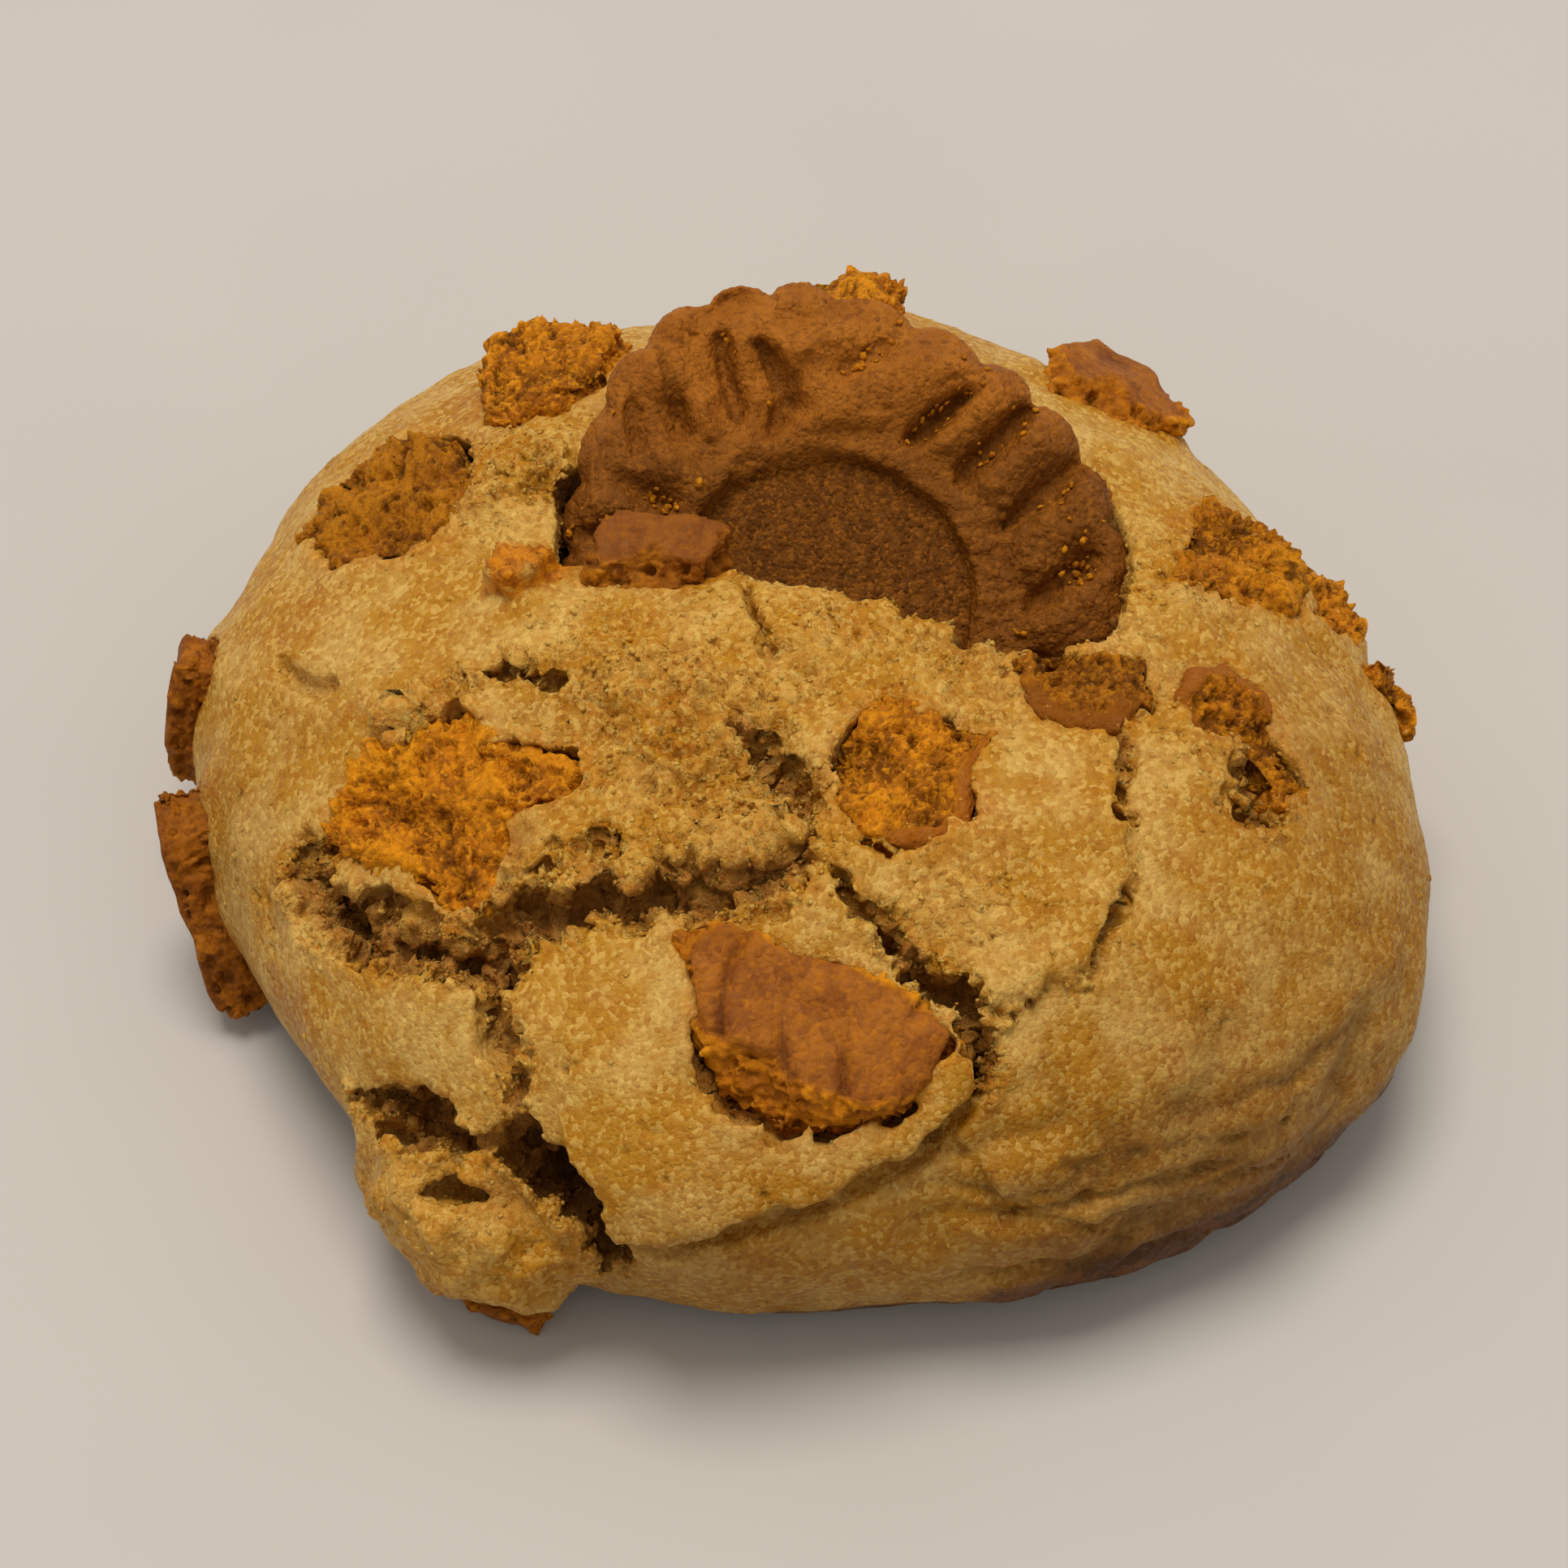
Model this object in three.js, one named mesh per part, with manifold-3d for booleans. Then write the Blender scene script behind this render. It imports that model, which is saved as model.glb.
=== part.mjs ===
// A thick soft cookie of pale dough with broken pieces of spiced biscuit baked into it and one round
// scalloped spiced biscuit pressed into its top at a slant.
// Millimetres, +Z up. The dough stands on z = 0 with its flat base, and the front faces -Y.
// Plan readings (x, y) are taken about the dome's own axis, and PLAN_SHIFT moves the whole cookie so
// that the middle of its outline stands on the origin.
import * as THREE from "three";
import { mergeVertices } from "three/addons/utils/BufferGeometryUtils.js";
import Module from "manifold-3d";

const PLAN_SHIFT = new THREE.Vector3(1.9, 2.2, 0);

// the dome
const DOME_HEIGHT = 31;
const WAIST_HEIGHT = 11;
const DOME_POWER = 2.6;
const BASE_INSET = 7;
// plan radius every 18 degrees, counter-clockwise from +X
const PLAN_RADII = [
  45, 43, 42, 42.5, 43.5, 44, 45, 48.5, 48.5, 48,
  47.5, 46, 45.5, 47, 47.5, 47.5, 47, 49, 50, 48,
];
const DOUGH_DETAIL = 16;
const BASE_SHARE = 0.26;
const SKIN_ROUGHNESS = 0.45;
const MEAN_RADIUS = 46;
const GATHER_REACH = 3;

// the pressed biscuit
const BISCUIT_RADIUS = 21.8;
const BISCUIT_THICKNESS = 5;
const BISCUIT_TILT = 33;
const BISCUIT_CENTRE = new THREE.Vector3(2.4, 3.1, 24.8);
const SWELL_BEARING = 116;
const SWELL_SPREAD = 23;
const SWELL_REACH = 4.4;
const PETALS = 20;
const PETAL_SWELL = 1.1;
const PETAL_FROM = 12.6;
const PETAL_RELIEF = 1.1;
const RECESS_RADIUS = 10.8;
const RECESS_DEPTH = 1.1;

const GAP = 0.35;
const ROOM_SIDES = 40;
const POCKET_HEADROOM = 5;
const FLOOR_CLEARANCE = 0.3;

const DOUGH_COLOUR = 0xcfa869;
const CRUMB_COLOUR = 0xb96f26;
const CRUST_COLOUR = 0x95552f;
const BISCUIT_COLOUR = 0x8c5225;

const wasm = await Module();
wasm.setup();

const clamp = THREE.MathUtils.clamp;
const smooth = THREE.MathUtils.smoothstep;
const radians = THREE.MathUtils.degToRad;

// seeded value noise
function latticeValue(i, j, k, seed) {
  let h = Math.imul(i, 374761393) + Math.imul(j, 668265263) + Math.imul(k, 1440662683);
  h = Math.imul((h + Math.imul(seed, 1013904223)) | 0, 1274126177);
  h = Math.imul(h ^ (h >>> 15), 2246822519);
  h ^= h >>> 13;
  return ((h >>> 0) / 4294967295) * 2 - 1;
}

function valueNoise(x, y, z, seed) {
  const i = Math.floor(x);
  const j = Math.floor(y);
  const k = Math.floor(z);
  const u = smooth(x - i, 0, 1);
  const v = smooth(y - j, 0, 1);
  const w = smooth(z - k, 0, 1);
  let sum = 0;
  for (let a = 0; a < 2; a += 1) {
    for (let b = 0; b < 2; b += 1) {
      for (let c = 0; c < 2; c += 1) {
        const weight = (a ? u : 1 - u) * (b ? v : 1 - v) * (c ? w : 1 - w);
        sum += weight * latticeValue(i + a, j + b, k + c, seed);
      }
    }
  }
  return sum;
}

function noiseAt(point, size, seed) {
  return valueNoise(point.x / size, point.y / size, point.z / size, seed);
}

// closed geometry to solid and back
function solidFrom(geometry) {
  const loose = geometry.index ? geometry.toNonIndexed() : geometry;
  const bare = new THREE.BufferGeometry();
  bare.setAttribute("position", loose.getAttribute("position").clone());
  const merged = mergeVertices(bare, 1e-4);
  const index = merged.index.array;
  const faces = [];
  for (let i = 0; i < index.length; i += 3) {
    const [a, b, c] = [index[i], index[i + 1], index[i + 2]];
    if (a !== b && b !== c && c !== a) faces.push(a, b, c);
  }
  return new wasm.Manifold(
    new wasm.Mesh({
      numProp: 3,
      vertProperties: new Float32Array(merged.getAttribute("position").array),
      triVerts: new Uint32Array(faces),
    }),
  );
}

function geometryFrom(solid) {
  const mesh = solid.getMesh();
  const geometry = new THREE.BufferGeometry();
  geometry.setAttribute("position", new THREE.BufferAttribute(new Float32Array(mesh.vertProperties), 3));
  geometry.setIndex(Array.from(mesh.triVerts));
  geometry.computeVertexNormals();
  return geometry;
}

function shaped(geometry, move) {
  const position = geometry.getAttribute("position");
  const point = new THREE.Vector3();
  for (let i = 0; i < position.count; i += 1) {
    point.fromBufferAttribute(position, i);
    const moved = move(point);
    position.setXYZ(i, moved.x, moved.y, moved.z);
  }
  return geometry;
}

// plan radius of the dome at a bearing in degrees, a smooth closed curve through PLAN_RADII
function planRadius(bearing) {
  const count = PLAN_RADII.length;
  const along = ((((bearing % 360) + 360) % 360) / 360) * count;
  const i = Math.floor(along);
  const t = along - i;
  const [a, b, c, d] = [-1, 0, 1, 2].map((step) => PLAN_RADII[(i + step + count) % count]);
  return b + 0.5 * t * (c - a + t * (2 * a - 5 * b + 4 * c - d + t * (3 * (b - c) + d - a)));
}

function bearingOf(x, y) {
  return THREE.MathUtils.radToDeg(Math.atan2(y, x));
}

function topPoint(x, y) {
  const share = clamp(Math.hypot(x, y) / planRadius(bearingOf(x, y)), 0, 1);
  const height = Math.sqrt(1 - Math.pow(share, DOME_POWER));
  return new THREE.Vector3(x, y, WAIST_HEIGHT + (DOME_HEIGHT - WAIST_HEIGHT) * height);
}

function sidePoint(bearing, z) {
  const full = planRadius(bearing);
  let radius;
  if (z >= WAIST_HEIGHT) {
    const height = (z - WAIST_HEIGHT) / (DOME_HEIGHT - WAIST_HEIGHT);
    radius = full * Math.pow(1 - height * height, 1 / DOME_POWER);
  } else {
    const drop = (WAIST_HEIGHT - z) / WAIST_HEIGHT;
    radius = full - BASE_INSET + BASE_INSET * Math.sqrt(1 - drop * drop);
  }
  return new THREE.Vector3(radius * Math.cos(radians(bearing)), radius * Math.sin(radians(bearing)), z);
}

// the outline of a half section of the dome as [share of plan radius or inset, height], walked at even
// steps of its length from the rim of the base to the top
function sectionWalk() {
  const fine = [];
  for (let i = 0; i <= 60; i += 1) {
    const turn = (i / 60) * (Math.PI / 2);
    const inset = BASE_INSET * (1 - Math.sin(turn));
    fine.push({ inset, share: 1, z: WAIST_HEIGHT * (1 - Math.cos(turn)) });
  }
  for (let i = 1; i <= 200; i += 1) {
    const turn = (i / 200) * (Math.PI / 2);
    const share = Math.pow(Math.max(Math.cos(turn), 0), 2 / DOME_POWER);
    fine.push({ inset: 0, share, z: WAIST_HEIGHT + (DOME_HEIGHT - WAIST_HEIGHT) * Math.sin(turn) });
  }
  fine[fine.length - 1].share = 0;
  let length = 0;
  fine.forEach((spot, i) => {
    if (i > 0) {
      const before = fine[i - 1];
      const out = MEAN_RADIUS * (spot.share - before.share) - (spot.inset - before.inset);
      length += Math.hypot(out, spot.z - before.z);
    }
    spot.length = length;
  });
  return fine;
}

const SECTION = sectionWalk();

function sectionAt(t) {
  const wanted = t * SECTION[SECTION.length - 1].length;
  let i = 1;
  while (i < SECTION.length - 1 && SECTION[i].length < wanted) i += 1;
  const before = SECTION[i - 1];
  const after = SECTION[i];
  const mix = clamp((wanted - before.length) / (after.length - before.length), 0, 1);
  return {
    inset: before.inset + (after.inset - before.inset) * mix,
    share: before.share + (after.share - before.share) * mix,
    z: before.z + (after.z - before.z) * mix,
  };
}

// a direction of the unit sphere to the smooth dome
function domePoint(direction) {
  const rise = Math.acos(clamp(-direction.z, -1, 1)) / Math.PI;
  const bearing = bearingOf(direction.x, direction.y);
  const full = planRadius(bearing);
  const around = Math.hypot(direction.x, direction.y);
  const cos = around > 1e-9 ? direction.x / around : 1;
  const sin = around > 1e-9 ? direction.y / around : 0;
  if (rise <= BASE_SHARE) {
    const radius = (full - BASE_INSET) * (rise / BASE_SHARE);
    return new THREE.Vector3(radius * cos, radius * sin, 0);
  }
  const spot = sectionAt((rise - BASE_SHARE) / (1 - BASE_SHARE));
  const radius = (full - spot.inset) * spot.share;
  return new THREE.Vector3(radius * cos, radius * sin, spot.z);
}

function domeNormal(point) {
  const share = Math.hypot(point.x, point.y) / planRadius(bearingOf(point.x, point.y));
  const outward = new THREE.Vector3(point.x, point.y, 0).normalize();
  if (point.z > WAIST_HEIGHT) {
    const climb = (point.z - WAIST_HEIGHT) / (DOME_HEIGHT - WAIST_HEIGHT);
    const out = DOME_POWER * Math.pow(Math.max(share, 1e-3), DOME_POWER - 1) / MEAN_RADIUS;
    return outward.multiplyScalar(out).setZ((2 * climb) / (DOME_HEIGHT - WAIST_HEIGHT)).normalize();
  }
  const drop = (WAIST_HEIGHT - point.z) / WAIST_HEIGHT;
  return outward.multiplyScalar(Math.sqrt(1 - drop * drop)).setZ(-0.6 * drop).normalize();
}

const trail = (points) => points.map(([x, y]) => topPoint(x, y));
const sideTrail = (points) => points.map(([bearing, z]) => sidePoint(bearing, z));

// broad swellings and dips of the dough: where, how far they reach, how high
const LUMPS = [
  { name: "front left raft", at: topPoint(-31, -31), reach: 9, lift: 1.4 },
  { name: "left shoulder raft", at: topPoint(-41, -8), reach: 9, lift: 0.8 },
  { name: "middle mass", at: topPoint(-12, -9), reach: 10, lift: 1.3 },
  { name: "raft before the round biscuit", at: topPoint(3, -7), reach: 6, lift: 0.9 },
  { name: "right raft", at: topPoint(14, -25), reach: 8, lift: 1.6 },
  { name: "front raft", at: topPoint(-14, -36), reach: 9, lift: 1.5 },
  { name: "crest behind the front piece", at: topPoint(1, -29), reach: 3.5, lift: 1.6 },
  { name: "crest right of the front piece", at: topPoint(9, -36.5), reach: 3.2, lift: 1.5 },
  { name: "front belly", at: sidePoint(262, 17), reach: 9, lift: 1.6 },
  { name: "dip under the belly", at: sidePoint(272, 7), reach: 8, lift: -0.6 },
  { name: "pale lump left of the round biscuit", at: topPoint(-22.5, 13), reach: 4.5, lift: 2.2 },
  { name: "raft at the right of the round biscuit", at: topPoint(27, -1), reach: 4, lift: 1.0 },
  { name: "raft by the right pieces", at: topPoint(27, -16.5), reach: 4.5, lift: 1.2 },
  { name: "right side", at: topPoint(39, -16), reach: 10, lift: 0.6 },
  { name: "small spiced crumb", at: topPoint(-21, 0.5), reach: 2.4, lift: 1.6 },
  { name: "bed of the round biscuit", at: topPoint(2, 24), reach: 13, lift: 3.2 },
  { name: "foot at the right front", at: sidePoint(300, 3), reach: 10, lift: 1.2 },
];

// cracks and folds: path, half width and depth, and how far the dough on the left or right of the path
// stands up beside it, dying away over fade
const CRACKS = [
  {
    name: "hollow below the large left piece",
    path: trail([
      [-36, -19.5], [-34.5, -22.5], [-31.4, -26], [-28, -28.3], [-24.8, -29.6], [-21.4, -31],
    ]),
    width: 2.1,
    depth: 4.6,
    left: 0,
    right: 0.9,
    fade: 4,
  },
  {
    name: "front left crack",
    path: trail([[-21.4, -31], [-21.2, -34.8], [-19.8, -36.8], [-20, -40.5]]),
    width: 1.2,
    depth: 1.9,
    left: 0.2,
    right: 0.3,
    fade: 4,
  },
  {
    name: "brown band",
    path: trail([
      [-21.8, -28.8], [-17.3, -28], [-12.4, -27], [-9, -27.5], [-5, -27], [-0.5, -25.3],
    ]),
    width: 2.1,
    depth: 2.9,
    left: 0.7,
    right: 0.5,
    fade: 4,
  },
  {
    name: "deep front crack",
    path: trail([
      [0, -25], [1, -27], [3, -29], [5, -30.7], [7.3, -33], [9.7, -34.5], [11.4, -35.6],
      [11.1, -38.6],
    ]),
    width: 1.7,
    depth: 4.6,
    left: 0.9,
    right: 0.5,
    fade: 4,
  },
  {
    name: "crack left of the porous piece",
    path: trail([
      [0, -25], [-0.7, -23.5], [-1.4, -20.4], [-2.8, -18], [-3.8, -15.2], [-5.8, -14.3],
    ]),
    width: 1.2,
    depth: 2.6,
    left: 0.5,
    right: 0,
    fade: 4,
  },
  {
    name: "front fold",
    path: [
      ...trail([[11.1, -37.4], [10.4, -39.6], [8.6, -41.3], [6.6, -42.9]]),
      ...sideTrail([[274, 18.6], [268, 17.2], [262, 15.6], [256, 14.3], [250, 13.2]]),
    ],
    width: 1.3,
    depth: 1.5,
    left: 0,
    right: 1.9,
    fade: 7,
  },
  {
    name: "scarp of the right raft",
    path: trail([
      [21.7, -14], [21.3, -16.8], [20.6, -18.6], [21.7, -21.4], [21, -25.5], [19.8, -28.6],
      [18.3, -32], [14.5, -33.8], [11.8, -35.2],
    ]),
    width: 1.1,
    depth: 1.4,
    left: 0,
    right: 1.2,
    fade: 5,
  },
  {
    name: "right front fold",
    path: sideTrail([[281, 20.5], [283.5, 18.6], [286, 15.8], [293, 14.6], [302, 14.2], [312, 14]]),
    width: 1.1,
    depth: 1.1,
    left: 0.8,
    right: 0,
    fade: 5,
  },
  {
    name: "brow above the large left piece",
    path: trail([[-30.5, -11.8], [-28, -9.6], [-24.8, -8], [-21.7, -7.8], [-18.8, -9]]),
    width: 1.2,
    depth: 1.8,
    left: 0.8,
    right: 0,
    fade: 4,
  },
  {
    name: "left groove",
    path: trail([[-39.3, -1.4], [-38.3, -3.1], [-36.5, -4.9], [-35, -5.9]]),
    width: 0.9,
    depth: 1.2,
    left: 0.4,
    right: 0,
    fade: 3,
  },
  {
    name: "short crack before the round biscuit",
    path: trail([[-5.2, -0.5], [-4.2, -4.5], [-3.7, -8.3]]),
    width: 1.0,
    depth: 1.5,
    left: 0.2,
    right: 0.2,
    fade: 3,
  },
  {
    name: "torn mouth at the left front",
    path: sideTrail([
      [228, 17], [233, 17.6], [238, 17], [243, 18], [247, 17.2], [250.3, 15.6], [251.5, 13.4],
      [253, 11.4],
    ]),
    width: 1.4,
    depth: 4.6,
    left: 0,
    right: 0.9,
    fade: 5,
  },
  {
    name: "hole by the right pieces",
    path: trail([[31, -14.5], [32, -17], [31.5, -18.6]]),
    width: 1.4,
    depth: 2.6,
    left: 0,
    right: 0.6,
    fade: 3,
  },
];

function nearestOn(path, point) {
  const best = { distance: Infinity };
  const spot = new THREE.Vector3();
  for (let i = 0; i + 1 < path.length; i += 1) {
    const segment = new THREE.Line3(path[i], path[i + 1]);
    segment.closestPointToPoint(point, true, spot);
    const distance = spot.distanceTo(point);
    if (distance < best.distance) {
      best.distance = distance;
      best.spot = spot.clone();
      best.run = segment.delta(new THREE.Vector3());
      best.atEnd = (i === 0 && spot.distanceTo(path[0]) < 1e-6)
        || (i + 2 === path.length && spot.distanceTo(path[i + 1]) < 1e-6);
    }
  }
  return best;
}

function crackRelief(crack, point, normal) {
  const near = nearestOn(crack.path, point);
  if (near.distance > crack.fade * 3) return 0;
  const depth = crack.depth * (1 - smooth(near.distance, crack.width * 0.15, crack.width));
  const across = near.run.clone().cross(normal).dot(point.clone().sub(near.spot));
  const rise = (across < 0 ? crack.left : crack.right) * Math.exp(-near.distance / crack.fade);
  const tail = near.atEnd ? Math.exp(-near.distance / 2) : 1;
  return rise * tail * smooth(near.distance, 0, crack.width) - depth;
}

function lumpHeight(point) {
  let height = 0;
  for (const lump of LUMPS) {
    const far = point.distanceTo(lump.at) / lump.reach;
    height += lump.lift * Math.exp(-far * far);
  }
  return height;
}

function relief(point, normal) {
  const grounded = smooth(point.z, 0.2, 4);
  let height = lumpHeight(point);
  for (const crack of CRACKS) height += crackRelief(crack, point, normal);
  height += SKIN_ROUGHNESS * noiseAt(point, 8, 11);
  height += 0.6 * SKIN_ROUGHNESS * noiseAt(point, 3.6, 12);
  return height * grounded;
}

// draws the points beside a crack towards its line, so that the coarse facets follow it
function gathered(point) {
  let moved = point;
  for (const crack of CRACKS) {
    const near = nearestOn(crack.path, moved);
    if (near.distance < GATHER_REACH && near.distance > 1e-6 && !near.atEnd) {
      const share = Math.pow(near.distance / GATHER_REACH, 0.6);
      moved = near.spot.clone().add(moved.clone().sub(near.spot).multiplyScalar(share));
    }
  }
  return moved;
}

function doughSolid() {
  const ball = new THREE.IcosahedronGeometry(1, DOUGH_DETAIL);
  return solidFrom(
    shaped(ball, (direction) => {
      const base = domePoint(direction.clone().normalize());
      if (base.z < 0.01) return base;
      const point = gathered(base);
      const normal = domeNormal(point);
      return point.add(normal.clone().multiplyScalar(relief(point, normal)));
    }),
  );
}

// the torn flap of dough at the left front, a rough lump that hangs on the side
function flapSolid() {
  const middle = sidePoint(239.5, 8.5);
  middle.multiplyScalar(0.985).setZ(9.8);
  const out = new THREE.Vector3(middle.x, middle.y, 0).normalize();
  const along = new THREE.Vector3(-out.y, out.x, 0);
  return solidFrom(
    shaped(new THREE.IcosahedronGeometry(1, 5), (direction) => {
      const side = direction.dot(along);
      const front = direction.dot(out);
      const point = middle.clone();
      point.addScaledVector(along, 10 * side);
      point.addScaledVector(out, (6.3 + 1.2 * side) * front);
      point.z += (6.6 - 2 * side) * direction.z;
      point.addScaledVector(direction, 0.9 * noiseAt(point, 3.2, 31));
      point.z = Math.max(point.z, 0);
      return point;
    }),
  );
}

// how far the rim of the round biscuit has swollen outwards at a bearing in degrees
function rimSwell(bearing) {
  const turn = ((((bearing - SWELL_BEARING) % 360) + 540) % 360) - 180;
  return SWELL_REACH * Math.exp(-(turn * turn) / (2 * SWELL_SPREAD * SWELL_SPREAD));
}

// scalloped disc with petals round a plain sunken middle, in its own frame with its face up
function biscuitPoint(point) {
  const radius = Math.hypot(point.x, point.y);
  if (radius < 1e-6) return point;
  const bearing = Math.atan2(point.y, point.x);
  const wave = Math.cos(PETALS * bearing);
  const outer = smooth(radius, RECESS_RADIUS, BISCUIT_RADIUS);
  const wobble = 0.2 * valueNoise(3 * Math.cos(bearing), 3 * Math.sin(bearing), 0.5, 41);
  const stretch = PETAL_SWELL * 0.5 * (wave - 1) + wobble + rimSwell(THREE.MathUtils.radToDeg(bearing));
  const scale = 1 + (stretch * outer) / radius;
  const band = smooth(radius, PETAL_FROM, PETAL_FROM + 1.5) * (1 - smooth(radius, 19, 21.4));
  const sink = point.z > 0 ? PETAL_RELIEF * band * 0.5 * (wave - 1) : 0;
  return new THREE.Vector3(point.x * scale, point.y * scale, point.z + sink);
}

// the room that the round biscuit takes up in the dough, a plain disc that clears it all round
function roomGeometry() {
  const half = BISCUIT_THICKNESS / 2 + GAP;
  const full = BISCUIT_RADIUS + 0.25 + GAP;
  const profile = [
    [0, -half],
    [full - 1.6, -half],
    [full, -half + 1.2],
    [full, half - 0.8],
    [full - 1.2, half],
    [0, half],
  ];
  const lathe = new THREE.LatheGeometry(profile.map(([r, z]) => new THREE.Vector2(r, z)), ROOM_SIDES);
  lathe.rotateX(Math.PI / 2);
  return shaped(lathe, (point) => {
    const radius = Math.hypot(point.x, point.y);
    if (radius < 1) return point;
    const scale = 1 + rimSwell(bearingOf(point.x, point.y)) / radius;
    return new THREE.Vector3(point.x * scale, point.y * scale, point.z);
  });
}

function biscuitGeometry() {
  const half = BISCUIT_THICKNESS / 2;
  const floor = half - 0.4 - RECESS_DEPTH;
  const profile = [
    [0, -half],
    [19.6, -half],
    [21.3, -half + 0.9],
    [BISCUIT_RADIUS, -0.2],
    [21.4, half - 1.4],
    [20.2, half - 0.5],
    [17, half],
    [14.6, half - 0.1],
    [PETAL_FROM, half - 0.4],
    [RECESS_RADIUS + 0.5, half - 0.4],
    [RECESS_RADIUS - 0.2, floor],
    [0, floor],
  ].map(([r, z]) => new THREE.Vector2(r, z));
  const lathe = new THREE.LatheGeometry(profile, PETALS * 4);
  lathe.rotateX(Math.PI / 2);
  return shaped(lathe, biscuitPoint);
}

function placedBiscuit(geometry) {
  geometry.rotateX(radians(BISCUIT_TILT));
  geometry.translate(BISCUIT_CENTRE.x, BISCUIT_CENTRE.y, BISCUIT_CENTRE.z);
  return geometry;
}

// the open space over the round biscuit: its outline carried straight up, as far forward as the edge
// of the dough that hangs over it
const LIP_EDGE = [
  [-30, 1.5], [-17, 1.2], [-6, 0.2], [0, -1.6], [5.5, -3], [6.2, -4.6],
  [9.7, -4.3], [11, -6.1], [15, -6.9], [19, -6.2], [23.5, -5], [30, -3],
];

function openingSolid() {
  const plan = new THREE.Shape();
  plan.setFromPoints(LIP_EDGE.map(([x, y]) => new THREE.Vector2(x, y)));
  plan.lineTo(30, 40);
  plan.lineTo(-30, 40);
  const behindLip = new THREE.ExtrudeGeometry(plan, { depth: 60, bevelEnabled: false });
  const tall = roomGeometry();
  const tilt = new THREE.Matrix4().makeRotationX(radians(BISCUIT_TILT));
  shaped(tall, (point) => {
    const raised = point.z > 0;
    const flat = new THREE.Vector3(point.x, point.y, -BISCUIT_THICKNESS / 2 - GAP).applyMatrix4(tilt);
    flat.add(BISCUIT_CENTRE);
    if (raised) flat.z += 40;
    return flat;
  });
  return solidFrom(tall).intersect(solidFrom(behindLip));
}

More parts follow.
